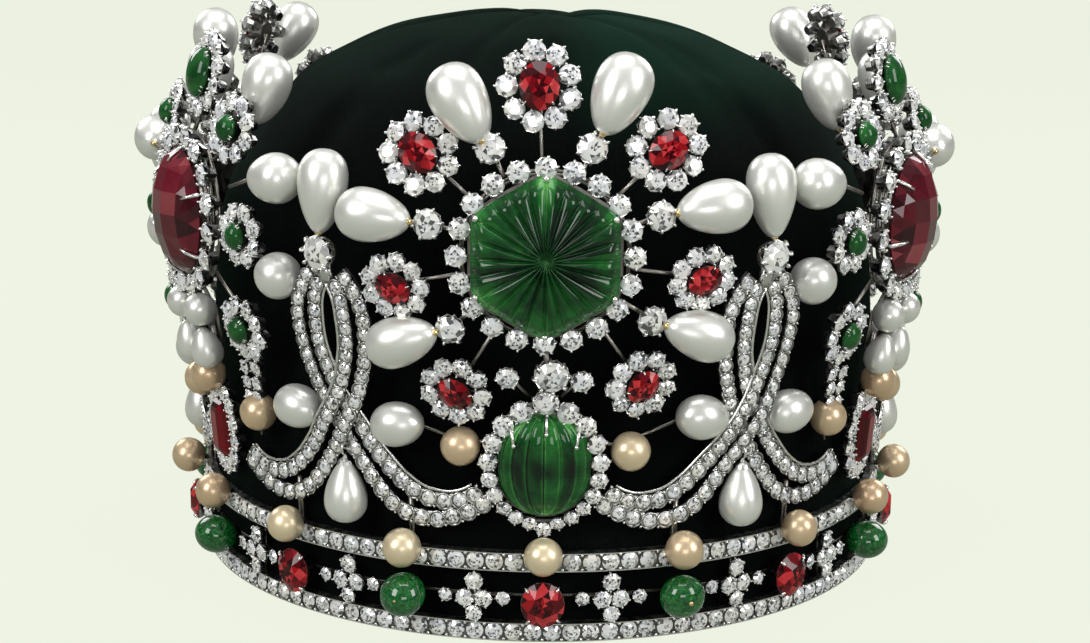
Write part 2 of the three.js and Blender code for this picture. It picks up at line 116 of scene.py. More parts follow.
# ---------------------------------------------------------------- mesh templates
class Tpl:
    """vertices, faces, one brightness per face"""
    def __init__(self, v, f, val=1.0, smooth=False, closed=True):
        self.v = np.asarray(v, float)
        f = [list(x) for x in f]
        if closed:
            vol = 0.0
            for x in f:
                a = self.v[x[0]]
                for i in range(1, len(x) - 1):
                    vol += np.dot(a, np.cross(self.v[x[i]], self.v[x[i + 1]]))
            if vol < 0:
                f = [x[::-1] for x in f]
        self.l = np.array([i for x in f for i in x], np.int32)
        self.c = np.array([len(x) for x in f], np.int32)
        self.val = np.full(len(f), float(val)) if np.isscalar(val) else np.asarray(val, float)
        self.s = np.full(len(f), bool(smooth)) if isinstance(smooth, bool) else np.asarray(smooth, bool)

class Build:
    def __init__(self):
        self.v, self.l, self.c, self.val, self.s, self.n = [], [], [], [], [], 0
    def add(self, t, M=None, gain=1.0, shift=0.0):
        v = t.v if M is None else t.v @ M[:3, :3].T + M[:3, 3]
        self.v.append(v); self.l.append(t.l + self.n); self.c.append(t.c); self.val.append(t.val * gain + shift); self.s.append(t.s)
        self.n += len(v)
    def turned(self, deg):
        b = Build(); R = turn(deg)
        b.v = [v @ R[:3, :3].T for v in self.v]
        b.l, b.c, b.val, b.s, b.n = list(self.l), list(self.c), list(self.val), list(self.s), self.n
        return b

OBJS = {}
def make(name, b, mat, body="crown", stands_for=()):
    me = bpy.data.meshes.new(name)
    V = (np.concatenate(b.v) * MM).astype(np.float32)
    L, C = np.concatenate(b.l), np.concatenate(b.c)
    me.vertices.add(len(V)); me.vertices.foreach_set("co", V.ravel())
    me.loops.add(len(L)); me.loops.foreach_set("vertex_index", L)
    me.polygons.add(len(C)); me.polygons.foreach_set("loop_start", np.concatenate([[0], np.cumsum(C)[:-1]]).astype(np.int32))
    me.polygons.foreach_set("use_smooth", np.concatenate(b.s))
    me.update(calc_edges=True)
    a = me.attributes.new("facet", "FLOAT", "FACE")
    a.data.foreach_set("value", np.concatenate(b.val).astype(np.float32))
    me.validate()
    me.materials.append(mat)
    o = bpy.data.objects.new(name, me)
    bpy.context.scene.collection.objects.link(o)
    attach(o, body)
    if stands_for:
        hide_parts(*stands_for)
    OBJS[name] = o
    return o

def ring_stack(rings, n, val=1.0, smooth=False, turn_by=0.0, caps=True):
    """rings: (rx, ry, z) or a list of n (x, y, z) points, bottom to top"""
    v, f = [], []
    for r in rings:
        if len(r) == 3 and np.isscalar(r[0]):
            for i in range(n):
                a = turn_by + 2 * math.pi * i / n
                v.append((r[0] * math.cos(a), r[1] * math.sin(a), r[2]))
        else:
            v.extend(r)
    for k in range(len(rings) - 1):
        for i in range(n):
            a, b = k * n + i, k * n + (i + 1) % n
            f.append((a, b, b + n, a + n))
    if caps:
        f.append(tuple(range(n))[::-1]); f.append(tuple((len(rings) - 1) * n + i for i in range(n)))
    return Tpl(v, f, val, smooth)

def sphere(n=6, m=4, rx=1.0, ry=1.0, rz=1.0, smooth=True, val=1.0):
    v, f = [(0, 0, rz)], []
    for j in range(1, m):
        a = math.pi * j / m
        for i in range(n):
            b = 2 * math.pi * i / n
            v.append((rx * math.sin(a) * math.cos(b), ry * math.sin(a) * math.sin(b), rz * math.cos(a)))
    v.append((0, 0, -rz)); e = len(v) - 1
    for i in range(n):
        f.append((0, 1 + i, 1 + (i + 1) % n))
        for j in range(m - 2):
            a, b = 1 + j * n + i, 1 + j * n + (i + 1) % n
            f.append((a, a + n, b + n, b))
        f.append((e, 1 + (m - 2) * n + (i + 1) % n, 1 + (m - 2) * n + i))
    return Tpl(v, f, val, smooth)

def brilliant(seed, tone=(1.0, 0.96, 0.9, 0.8, 0.5, 0.22), weights=(.24, .2, .17, .15, .13, .11), n=8, crown=0.34, table=0.54, pav=0.75):
    """round brilliant: table in sectors as the pavilion shows through it, stars, kites, girdle facets, closed below;
    each facet's value is a painted reflection, dark to white
    """
    g = np.random.default_rng(seed)
    v, f, val = [], [], []
    def P(r, a, z): v.append((r * math.cos(a), r * math.sin(a), z)); return len(v) - 1
    st = 2 * math.pi / n
    c = P(0, 0, crown)
    inner = [P(table * 0.46, (k + 0.5) * st, crown) for k in range(n)]
    tab = [P(table, k * st, crown) for k in range(n)]
    mid = [P(table + (1 - table) * 0.48, (k + 0.5) * st, crown * 0.52) for k in range(n)]
    gir = [P(1.0, k * st / 2, 0.0) for k in range(2 * n)]
    low = [P(0.985, k * st / 2, -0.06) for k in range(2 * n)]
    cul = P(0, 0, -pav)
    pick = lambda p=None: float(g.choice(tone, p=p))
    dark = (.12, .13, .15, .17, .22, .21)
    for k in range(n):
        j = (k + 1) % n
        f.append((c, inner[k - 1], inner[k])); val.append(pick(dark))
        f.append((inner[k - 1], tab[k], inner[k])); val.append(pick(dark))
        f.append((inner[k], tab[k], tab[j])); val.append(pick())
        f.append((tab[k], mid[k], tab[j])); val.append(pick())
        f.append((tab[k], mid[k - 1], gir[2 * k], mid[k])); val.append(pick(weights))
        f.append((mid[k], gir[2 * k], gir[2 * k + 1])); val.append(pick())
        f.append((mid[k], gir[2 * k + 1], gir[(2 * k + 2) % (2 * n)])); val.append(pick())
    for k in range(2 * n):
        j = (k + 1) % (2 * n)
        f.append((gir[k], low[k], low[j], gir[j])); val.append(0.9)
        f.append((low[k], cul, low[j])); val.append(0.35)
    return Tpl(v, f, val, False)

BRILL = [brilliant(s) for s in range(14)]
ROSE_T = [brilliant(50 + s, n=6, crown=0.4, table=0.42) for s in range(5)]
def gem_tones(s, **k):
    return brilliant(s, tone=(1.0, 0.85, 0.65, 0.45, 0.28, 0.12), **k)
RUBY_T = [gem_tones(100 + s, crown=0.42, table=0.5, n=8) for s in range(8)]

def collet(claws=6, depth=1.05, top=1.07, foot=0.62, dip=0.34):
    """open tapered cup, scalloped between its claws"""
    n = 2 * claws
    rings = []
    def ring(r, zf): return [(r * math.cos(math.pi * i / claws), r * math.sin(math.pi * i / claws), zf(i)) for i in range(n)]
    o_low = ring(foot, lambda i: -depth - (0.12 if i % 2 == 0 else 0.0))
    o_mid = ring((top + foot) / 2 * 0.97, lambda i: -depth * 0.5)
    o_top = ring(top, lambda i: -0.02 if i % 2 == 0 else -dip)
    i_top = ring(top - 0.13, lambda i: -0.04 if i % 2 == 0 else -dip)
    i_low = ring(foot - 0.1, lambda i: -depth + 0.08)
    v = sum([o_low, o_mid, o_top, i_top, i_low], [])
    f, val = [], []
    # face values paint light and shade: the outer wall darker low down, the top rim brightest as a painted highlight,
    # the inside and the base darkest as painted shade
    for k in range(4):
        for i in range(n):
            a, b = k * n + i, k * n + (i + 1) % n
            f.append((a, b, b + n, a + n)); val.append([0.42, 0.62, 1.0, 0.2][k])
    f.append(tuple(4 * n + i for i in range(n))); val.append(0.1)
    f.append(tuple(range(n))[::-1]); val.append(0.3)
    return Tpl(v, f, val, False)
COLLET = {6: collet(6), 4: collet(4), 5: collet(5), 8: collet(8)}
CLAW = sphere(6, 4, 0.16, 0.12, 0.3)
BEAD = sphere(6, 4)
BEAD_S = sphere(10, 6)

def tube(points, r, n=6, val=0.8, smooth=True):
    """round wire through points, radius a number or one per point"""
    P = np.asarray(points, float)
    rr = np.full(len(P), r) if np.isscalar(r) else np.asarray(r, float)
    T = np.gradient(P, axis=0)
    T /= np.linalg.norm(T, axis=1)[:, None]
    h = np.array([0, 0, 1.0]) if abs(T[0][2]) < 0.9 else np.array([1.0, 0, 0])
    s = np.cross(T[0], h); s /= np.linalg.norm(s)
    v, f = [], []
    for p, t, q in zip(P, T, rr):
        s = s - t * np.dot(s, t); s /= np.linalg.norm(s)
        u = np.cross(t, s)
        for i in range(n):
            a = 2 * math.pi * i / n
            v.append(p + q * (math.cos(a) * s + math.sin(a) * u))
    for k in range(len(P) - 1):
        for i in range(n):
            a, b = k * n + i, k * n + (i + 1) % n
            f.append((a, b, b + n, a + n))
    f.append(tuple(range(n))[::-1]); f.append(tuple((len(P) - 1) * n + i for i in range(n)))
    sm = [smooth] * (len(f) - 2) + [False, False]
    return Tpl(v, f, val, sm)

def closed_tube(points, r, n=6, val=0.8, flat=1.0):
    """ring of wire through a closed run of points; the section's second axis is scaled by flat"""
    P = np.asarray(points, float); m = len(P)
    T = np.roll(P, -1, 0) - np.roll(P, 1, 0); T /= np.linalg.norm(T, axis=1)[:, None]
    N = np.zeros(3)
    c = P.mean(0)
    for i in range(m):
        N += np.cross(P[i] - c, P[(i + 1) % m] - c)
    N /= np.linalg.norm(N)
    v, f = [], []
    for p, t in zip(P, T):
        s = np.cross(t, N); s /= np.linalg.norm(s); u = np.cross(s, t)
        for i in range(n):
            a = 2 * math.pi * (i + 0.5) / n
            v.append(p + r * (math.cos(a) * s + flat * math.sin(a) * u))
    for k in range(m):
        for i in range(n):
            a, b = k * n + i, k * n + (i + 1) % n
            c2, d = ((k + 1) % m) * n + i, ((k + 1) % m) * n + (i + 1) % n
            f.append((a, b, d, c2))
    return Tpl(v, f, val, True)

def pear_shape(length, width, pear=0.35, n=28, m=20, tip=0.0):
    """pearl along +y, narrow end at -y, slightly uneven as grown pearls are"""
    v, f = [], []
    aa = np.linspace(0, math.pi, m + 1)
    prof = np.sin(aa) ** (0.9 if 0.1 < pear < 0.35 else 1.0) * (1 + pear * np.cos(aa))
    prof = prof / prof.max() * width / 2
    v.append((0, length / 2, 0))
    for j in range(1, m):
        for i in range(n):
            b = 2 * math.pi * i / n
            r = prof[j] * (1 + 0.012 * math.sin(2 * b + 1.3) + 0.008 * math.sin(3 * b + j * 0.4))
            v.append((r * math.cos(b), length / 2 * math.cos(aa[j]), -r * math.sin(b)))
    v.append((0, -length / 2, 0)); e = len(v) - 1
    for i in range(n):
        f.append((0, 1 + i, 1 + (i + 1) % n))
        for j in range(m - 2):
            a, b = 1 + j * n + i, 1 + j * n + (i + 1) % n
            f.append((a, a + n, b + n, b))
        f.append((e, 1 + (m - 2) * n + (i + 1) % n, 1 + (m - 2) * n + i))
    return Tpl(v, f, 1.0, True)
PEARL_CACHE = {}
def pearl(length, width, pear=0.35):
    k = (round(length, 2), round(width, 2), pear)
    if k not in PEARL_CACHE:
        PEARL_CACHE[k] = pear_shape(*k)
    return PEARL_CACHE[k]

# ---------------------------------------------------------------- materials
def nodes_of(name):
    m = bpy.data.materials.new(name); m.use_nodes = True
    nt = m.node_tree
    b = nt.nodes["Principled BSDF"]
    return m, nt, b
def link(nt, a, b): nt.links.new(a, b)
def attr(nt, name="facet"):
    a = nt.nodes.new("ShaderNodeAttribute"); a.attribute_name = name; return a.outputs["Fac"]
def ramp(nt, fac, stops, mode="LINEAR"):
    r = nt.nodes.new("ShaderNodeValToRGB"); cr = r.color_ramp; cr.interpolation = mode
    while len(cr.elements) > 1: cr.elements.remove(cr.elements[-1])
    cr.elements[0].position, cr.elements[0].color = stops[0][0], (*stops[0][1], 1)
    for p, c in stops[1:]:
        e = cr.elements.new(p); e.color = (*c, 1)
    link(nt, fac, r.inputs[0]); return r.outputs[0]
def coords(nt, k=1.0):
    t = nt.nodes.new("ShaderNodeTexCoord"); return t.outputs["Object"]
def noise(nt, sc, detail=3.0, rough=0.5, dist=0.0):
    n = nt.nodes.new("ShaderNodeTexNoise"); n.inputs["Scale"].default_value = sc; n.inputs["Detail"].default_value = detail
    n.inputs["Roughness"].default_value = rough; n.inputs["Distortion"].default_value = dist
    link(nt, coords(nt), n.inputs["Vector"]); return n.outputs["Fac"]
def voronoi(nt, sc, feature="F1"):
    n = nt.nodes.new("ShaderNodeTexVoronoi"); n.feature = feature; n.inputs["Scale"].default_value = sc
    link(nt, coords(nt), n.inputs["Vector"]); return n.outputs["Distance"]
def bump(nt, b, h, strength, dist):
    u = nt.nodes.new("ShaderNodeBump"); u.inputs["Strength"].default_value = strength; u.inputs["Distance"].default_value = dist
    link(nt, h, u.inputs["Height"]); link(nt, u.outputs[0], b.inputs["Normal"])
def mixf(nt, a, b, fac=0.5, op="ADD"):
    m = nt.nodes.new("ShaderNodeMath"); m.operation = op
    for i, x in enumerate((a, b)):
        if hasattr(x, "links"): link(nt, x, m.inputs[i])
        else: m.inputs[i].default_value = x
    return m.outputs[0]
def mixc(nt, fac, a, b, mode="MIX"):
    m = nt.nodes.new("ShaderNodeMix"); m.data_type = "RGBA"; m.blend_type = mode
    for i, x in ((0, fac), (6, a), (7, b)):
        if hasattr(x, "links"): link(nt, x, m.inputs[i])
        elif i == 0: m.inputs[0].default_value = x
        else: m.inputs[i].default_value = (*x, 1)
    return m.outputs[2]

def mat_diamond(name="diamond", dark=1.0):
    m, nt, b = nodes_of(name)
    # base colour from the facet value: painted facet reflections, from near black to white
    c = ramp(nt, attr(nt), [(0.0, (0.012, 0.013, 0.015)), (0.2, (0.08, 0.082, 0.088)), (0.45, (0.46, 0.47, 0.48)), (0.72, (0.88, 0.89, 0.89)), (1.0, (0.99, 0.99, 0.98))])
    tint = ramp(nt, noise(nt, 160, 1), [(0.35, (0.93, 0.95, 1.0)), (0.65, (1.0, 0.99, 0.95))])
    link(nt, mixc(nt, 1.0, c, tint, "MULTIPLY"), b.inputs["Base Color"])
    b.inputs["Metallic"].default_value = 0.25; b.inputs["Roughness"].default_value = 0.07; b.inputs["IOR"].default_value = 2.2
    return m
def mat_metal(name, lo, hi, rough=0.24):
    m, nt, b = nodes_of(name)
    # the facet value paints light and shade into the metal: inner, lower and hidden faces darker as painted shade,
    # rims, beads and claws brighter as painted highlight; the noise on top is real wear
    wear_and_painted_shade = mixf(nt, attr(nt), mixf(nt, mixf(nt, noise(nt, 260, 3), -0.5), 0.35, op="MULTIPLY"))
    link(nt, ramp(nt, wear_and_painted_shade, [(0.0, lo), (0.5, tuple((a + c) / 2 for a, c in zip(lo, hi))), (1.0, hi)]), b.inputs["Base Color"])
    b.inputs["Metallic"].default_value = 1.0
    r = ramp(nt, noise(nt, 420, 4), [(0.3, (rough * 0.7,) * 3), (0.7, (rough * 1.5,) * 3)])
    link(nt, r, b.inputs["Roughness"])
    bump(nt, b, noise(nt, 900, 2), 0.04, 0.0002)
    return m
def mat_gem(name, stops, rough=0.05, ior=1.9, metal=0.0, cloud=0.25, cloud_scale=260, coat=0.5):
    m, nt, b = nodes_of(name)
    # base colour from the facet value: painted facet reflections on the cut stones and painted glints and light patches
    # on the carved ones; the cloud noise is the stone's own cloudiness
    f = mixf(nt, attr(nt), mixf(nt, mixf(nt, noise(nt, cloud_scale, 4, 0.6, 1.2), -0.5), cloud, op="MULTIPLY"))
    link(nt, ramp(nt, f, stops), b.inputs["Base Color"])
    b.inputs["Roughness"].default_value = rough; b.inputs["IOR"].default_value = ior; b.inputs["Metallic"].default_value = metal
    b.inputs["Coat Weight"].default_value = coat; b.inputs["Coat Roughness"].default_value = 0.02
    return m
def mat_pearl(name, a, c, tint, metal=0.6):
    m, nt, b = nodes_of(name)
    f = noise(nt, 90, 3, 0.5, 0.6)
    f = mixf(nt, mixf(nt, attr(nt), 0.75, op="MULTIPLY"), mixf(nt, f, 0.45, op="MULTIPLY"))
    link(nt, ramp(nt, f, [(0.15, a), (0.95, c)]), b.inputs["Base Color"])
    r = ramp(nt, noise(nt, 240, 2), [(0.3, (0.3,) * 3), (0.7, (0.4,) * 3)])
    link(nt, r, b.inputs["Roughness"])
    b.inputs["IOR"].default_value = 1.5; b.inputs["Metallic"].default_value = metal
    b.inputs["Specular Tint"].default_value = (*tint, 1)
    b.inputs["Coat Weight"].default_value = 0.35; b.inputs["Coat Roughness"].default_value = 0.14
    bump(nt, b, noise(nt, 320, 2), 0.05, 0.0003)
    return m
def mat_velvet():
    m, nt, b = nodes_of("velvet")
    f = mixf(nt, mixf(nt, noise(nt, 22, 4, 0.6), 0.6, op="MULTIPLY"), mixf(nt, noise(nt, 1400, 2), 0.4, op="MULTIPLY"))
    link(nt, ramp(nt, f, [(0.3, (0.0012, 0.0016, 0.0014)), (0.55, (0.002, 0.003, 0.0026)), (0.75, (0.004, 0.007, 0.0055))]), b.inputs["Base Color"])
    # side paints a dark green sheen into the base colour over the top of the dome, strongest right of centre and patchy
    # through noise: a painted sheen
    sx = nt.nodes.new("ShaderNodeSeparateXYZ"); link(nt, coords(nt), sx.inputs[0])
    side = mixf(nt, ramp(nt, mixf(nt, sx.outputs["X"], 8.0, op="MULTIPLY"), [(0.02, (0.15,) * 3), (0.12, (1,) * 3), (0.6, (0.7,) * 3)]), ramp(nt, mixf(nt, sx.outputs["Z"], 7.0, op="MULTIPLY"), [(0.78, (0,) * 3), (0.9, (1,) * 3)]), op="MULTIPLY")
    side = mixf(nt, side, ramp(nt, noise(nt, 35, 3), [(0.3, (0.5,) * 3), (0.7, (1,) * 3)]), op="MULTIPLY")
    old = b.inputs["Base Color"].links[0].from_socket
    link(nt, mixc(nt, side, old, (0.003, 0.016, 0.0095)), b.inputs["Base Color"])
    b.inputs["Roughness"].default_value = 0.95; b.inputs["Specular IOR Level"].default_value = 0.03
    b.inputs["Sheen Weight"].default_value = 0.35; b.inputs["Sheen Roughness"].default_value = 0.25; b.inputs["Sheen Tint"].default_value = (0.02, 0.09, 0.055, 1)
    bump(nt, b, mixf(nt, noise(nt, 2600, 2), mixf(nt, noise(nt, 120, 3), 0.6, op="MULTIPLY")), 0.5, 0.0006)
    return m

DIAMOND = mat_diamond()
PLATINUM = mat_metal("platinum", (0.035, 0.033, 0.03), (0.82, 0.82, 0.8))
# ray_wire is the same platinum as the settings painted darker: painted shade on the wire frame behind the stones,
# darker still where its pieces carry low face values
DARKWIRE = mat_metal("ray_wire", (0.03, 0.028, 0.025), (0.36, 0.34, 0.31), 0.3)
GOLD = mat_metal("gold_caps", (0.16, 0.1, 0.03), (0.78, 0.6, 0.3), 0.25)
RUBY = mat_gem("ruby", [(0.0, (0.01, 0.0, 0.001)), (0.3, (0.045, 0.0, 0.002)), (0.6, (0.13, 0.001, 0.005)), (0.85, (0.3, 0.003, 0.008)), (1.0, (0.55, 0.04, 0.045))], ior=1.36, coat=0.08)
REDSTONE = mat_gem("red_stone", [(0.0, (0.016, 0.001, 0.003)), (0.4, (0.06, 0.003, 0.008)), (0.7, (0.13, 0.006, 0.016)), (1.0, (0.28, 0.05, 0.06))], cloud=0.3, cloud_scale=120, ior=1.4, coat=0.1)
EMERALD = mat_gem("emerald", [(0.0, (0.0005, 0.004, 0.0015)), (0.25, (0.002, 0.017, 0.005)), (0.5, (0.006, 0.062, 0.012)), (0.75, (0.018, 0.15, 0.025)), (1.0, (0.1, 0.36, 0.08))], cloud=0.62, cloud_scale=190, ior=1.36, coat=0.1)
WHITE = mat_pearl("white_pearl", (0.52, 0.53, 0.46), (0.78, 0.79, 0.75), (0.9, 0.93, 0.8))
GOLDEN = mat_pearl("golden_pearl", (0.5, 0.27, 0.14), (0.84, 0.73, 0.5), (0.95, 0.85, 0.65))
VELVET = mat_velvet()

# ---------------------------------------------------------------- stones and settings
def stone(D, S, M, r, claws=6, depth=1.0, tone=1.0, kinds=None, bright=1.0, claw_size=1.0):
    """a round stone of radius r, its girdle in the xy plane of M, in a claw collet"""
    kinds = kinds or BRILL
    k = kinds[int(rng.integers(len(kinds)))]
    D.add(k, M @ rotz(rng.uniform(0, 2)) @ rotx(rng.normal(0, 0.05)) @ roty(rng.normal(0, 0.05)) @ scale(r * 0.98), gain=tone, shift=rng.uniform(-0.06, 0.03))
    if S is not None:
        a0 = rng.uniform(0, 2)
        # the collet's values are scaled by bright, and the claws are lifted by 0.15 as a painted highlight
        S.add(COLLET[claws], M @ rotz(a0) @ scale(r, r, r * depth), gain=bright)
        for i in range(claws):
            S.add(CLAW, M @ rotz(a0 + 2 * math.pi * i / claws) @ move(r * 1.03, 0, r * 0.05) @ roty(-0.35) @ scale(r * claw_size * 1.18), shift=0.15)

def oval_gem(G, M, rx, ry, kinds, h=1.0, shift=0.0):
    k = kinds[int(rng.integers(len(kinds)))]
    G.add(k, M @ scale(rx, ry, (rx + ry) / 2 * h), shift=shift + rng.uniform(-0.05, 0.05))

def claws_on(S, M, rx, ry, n, z=0.5, size=1.0, start=0.0, reach=0.0, long=1.0):
    for i in range(n):
        a = start + 2 * math.pi * i / n
        x, y = rx * math.cos(a), ry * math.sin(a)
        out = math.atan2(y, x)
        S.add(CLAW, M @ move(x, y, z) @ rotz(out) @ roty(-0.5 - reach) @ scale(2.6 * size, 2.6 * size, 3.0 * size * long), shift=0.1)

def cluster(C, deg, z, r, ring_r, count, gem, gem_r, off=2.6, roll=0.0, stones=2.2, kind="ruby", jitter=0.35, tilt=0.1):
    """a ring of diamonds, each in its own collet, with wires and a small wire rosette, round the seat of a coloured
    stone
    """
    base = frame_at(deg, z, off) @ rotz(roll) @ rotx(rng.normal(0, 0.03)) @ roty(rng.normal(0, 0.03))
    for i in range(count):
        a = 2 * math.pi * (i + 0.5) / count
        rr = ring_r + rng.normal(0, 0.12) * jitter
        x, y = rr * math.cos(a) * gem_r[2], rr * math.sin(a) * gem_r[3]
        M = base @ move(x, y, -0.2 + rng.normal(0, 0.25) * jitter) @ rotz(a) @ roty(tilt + rng.normal(0, 0.12)) @ rotx(rng.normal(0, 0.1))
        stone(C["D"], C["S"], M, stones * (1 + rng.normal(0, 0.03)), claws=int(rng.choice([4, 5, 5, 6])), depth=1.15)
        C["W"].add(tube([(base @ np.array([x * 0.45, y * 0.45, -2.2, 1]))[:3], (base @ np.array([x * 0.96, y * 0.96, -2.4, 1]))[:3]], 0.32, 5, 0.6))
    C["W"].add(ring_stack([(gem_r[0] * 0.6, gem_r[1] * 0.6, -2.8), (gem_r[0] * 0.98, gem_r[1] * 0.98, 0.1), (gem_r[0] * 0.8, gem_r[1] * 0.8, 0.2)], 16, 0.45), base)
    return base

def pearl_on(P, deg, z, dn, zn, length, width, off, pear=0.35):
    dx, dz = math.radians(dn - deg) * surface(z), zn - z
    roll = math.atan2(-dz, -dx) - math.pi / 2
    M = frame_at(deg, z, off) @ rotz(roll)
    P.add(pearl(length, width, pear), M)
    return M

def gold_cap(G, M, length, r=1.05, h=1.1):
    """cup at a pearl's narrow end"""
    cup = ring_stack([(r * 0.35, r * 0.35, -h), (r * 0.85, r * 0.85, -h * 0.5), (r, r, 0.25), (r * 0.7, r * 0.7, 0.25)], 12, [1.0] * 36 + [0.6, 0.6], [True] * 36 + [False] * 2)
    G.add(cup, M @ move(0, -length / 2 + 0.5, 0) @ rotx(-math.pi / 2))

# ---------------------------------------------------------------- carved stones
def smooth(a, b, x):
    t = np.clip((x - a) / (b - a), 0, 1); return t * t * (3 - 2 * t)

def hexagon_emerald():
    nt, nr = 288, 30
    th = np.arange(nt) * 2 * math.pi / nt
    a, p = 15.6, 13.0
    R = sum(np.abs(np.cos(th - math.radians(k))) ** p for k in (0, 60, 120)) ** (-1 / p) * a
    R = R * 1.035
    rho = np.concatenate([np.linspace(0.03, 0.82, nr - 8), [0.86, 0.9, 0.935, 0.96, 0.98, 0.992, 1.0, 1.0]])
    v, f, val = [(0, 0, 6.6)], [], []
    groove = (1 - np.abs(np.sin(12 * th)) ** 0.55)
    petal = np.abs(np.sin(12 * th))
    for j, q in enumerate(rho):
        dome = 3.3 + 4.5 * (1 - q ** 2.2) ** 0.9 * 0.62 + (1 - smooth(0.86, 1.0, q)) * 1.55
        if j == len(rho) - 1: dome = 1.4
        w = smooth(0.0, 0.2, q) * (1 - smooth(0.84, 0.97, q))
        h = dome - 0.95 * groove * w + 0.28 * petal * w - 0.7 * (1 - smooth(0, 0.12, q))
        for i in range(nt):
            v.append((q * R[i] * math.cos(th[i]), q * R[i] * math.sin(th[i]), h[i]))
    v2 = np.array(v)
    for i in range(nt):
        f.append((0, 1 + i, 1 + (i + 1) % nt)); val.append(0.55)
    edge = [math.cos(3 * (t - math.radians(30))) for t in th]
    for j in range(len(rho) - 1):
        q = (rho[j] + rho[j + 1]) / 2
        for i in range(nt):
            A, B = 1 + j * nt + i, 1 + j * nt + (i + 1) % nt
            f.append((A, A + nt, B + nt, B))
            t = th[i]
            sector = int(((t + math.pi / 24) % (2 * math.pi)) / (math.pi / 12))
            g = np.random.default_rng(sector + 31).uniform(-0.12, 0.12)
            # the face value is painted light: lines are painted glints along the groove flanks; rim, vert and corner
            # are painted light along the rim, in a vertical streak and at the corners; the centre is lifted as a
            # painted highlight; g is a tone per groove sector
            lines = 0.34 * math.exp(-((abs(math.sin(12 * t)) - 0.24) / 0.13) ** 2) * math.exp(-q * 1.1)
            rim = 0.3 * smooth(0.86, 0.98, q) + 0.16 * smooth(0.6, 0.8, q) * (1 - smooth(0.86, 0.9, q)) * (0.5 + 0.5 * math.sin(6 * t + 2))
            vert = 0.3 * math.exp(-((t - math.pi / 2) / 0.12) ** 2) * smooth(0.25, 0.8, q) + 0.14 * math.exp(-((t - 1.5 * math.pi) / 0.2) ** 2)
            corner = sum(w * math.exp(-((math.degrees(t) - c + 180) % 360 - 180) ** 2 / 160.0) for c, w in ((30, 0.22), (330, 0.4), (210, 0.42), (90, 0.15), (262, 0.3), (150, 0.12))) * smooth(0.55, 0.9, q)
            val.append(float(0.3 + 1.5 * g * smooth(0.1, 0.4, q) + lines + 0.6 * rim + vert + corner + 0.15 * (1 - smooth(0.02, 0.2, q))))
    n0 = 1 + (len(rho) - 1) * nt
    v.append((0, 0, 0.4)); e = len(v) - 1
    base = []
    for i in range(nt):
        v.append((0.86 * R[i] * math.cos(th[i]), 0.86 * R[i] * math.sin(th[i]), 0.4))
    for i in range(nt):
        A, B = n0 + i, n0 + (i + 1) % nt
        C, D = e + 1 + i, e + 1 + (i + 1) % nt
        f.append((A, C, D, B)); val.append(0.5)
        f.append((C, e, D)); val.append(0.3)
    return Tpl(v, f, val, True)

def fluted_emerald():
    prof = [(12.4, 0.0), (12.2, 2.8), (11.6, 5.2), (10.4, 7.2), (8.8, 8.7), (6.4, 10.0), (3.6, 10.8), (0.8, 11.0), (-2.2, 10.7), (-4.8, 10.0), (-7.2, 8.8), (-9.2, 7.2), (-10.8, 5.1), (-11.9, 2.8), (-12.4, 0.0)]
    z = np.array([p[0] for p in prof]); w = np.array([p[1] for p in prof])
    tt = np.linspace(0, 1, len(prof)); t2 = np.linspace(0, 1, 43)
    z, w = np.interp(t2, tt, z), np.interp(t2, tt, w)
    k = np.array([1, 2, 1]) / 4
    for _ in range(2):
        w[1:-1] = np.convolve(w, k, "valid"); z[1:-1] = np.convolve(z, k, "valid")
    nl = 192
    lam = np.arange(nl) * 2 * math.pi / nl
    # flutes are even across the front face: x = w*cos, so space them by x
    v, f, val = [(0, z[0], 0.6)], [], []
    for j in range(1, len(z) - 1):
        for i in range(nl):
            x, y = math.cos(lam[i]), math.sin(lam[i])
            deep = 0.56 if y > 0 else 0.2
            fl = abs(math.sin(lam[i] * 8)) ** 0.6
            cut = 1 - 0.12 * (1 - fl) * (1 if y > 0 else 0) * smooth(0.0, 3.0, min(w[j], 6))
            v.append((w[j] * x * cut, z[j], 0.7 + w[j] * deep * y * cut))
    v.append((0, z[-1], 0.6)); e = len(v) - 1
    m = len(z) - 2
    for i in range(nl):
        f.append((0, 1 + i, 1 + (i + 1) % nl)); val.append(0.6)
        for j in range(m - 1):
            a, b = 1 + j * nl + i, 1 + j * nl + (i + 1) % nl
            f.append((a, a + nl, b + nl, b))
            # face values paint light and shade: a dark band across the middle and dark flute bottoms as painted shade,
            # bright flute flanks, a brighter top, bottom and sides as painted light, and a tone per flute
            fl = abs(math.sin(lam[i] * 8))
            zz = z[j + 1]
            val.append(0.42 - 0.3 * math.exp(-((zz - 1.0) / 2.2) ** 2) * (0.6 + 0.4 * math.sin(9 * lam[i])) + 0.26 * math.exp(-((fl - 0.3) / 0.16) ** 2) - 0.22 * math.exp(-(fl / 0.14) ** 2) + 0.24 * smooth(5.0, 11.0, zz) + 0.4 * smooth(-6.5, -11.5, zz) + 0.2 * abs(math.cos(lam[i])) ** 6 + 0.12 * math.sin(int(lam[i] * 8 / math.pi) * 2.4))
        f.append((e, 1 + (m - 1) * nl + (i + 1) % nl, 1 + (m - 1) * nl + i)); val.append(0.9)
    return Tpl(v, f, val, True)

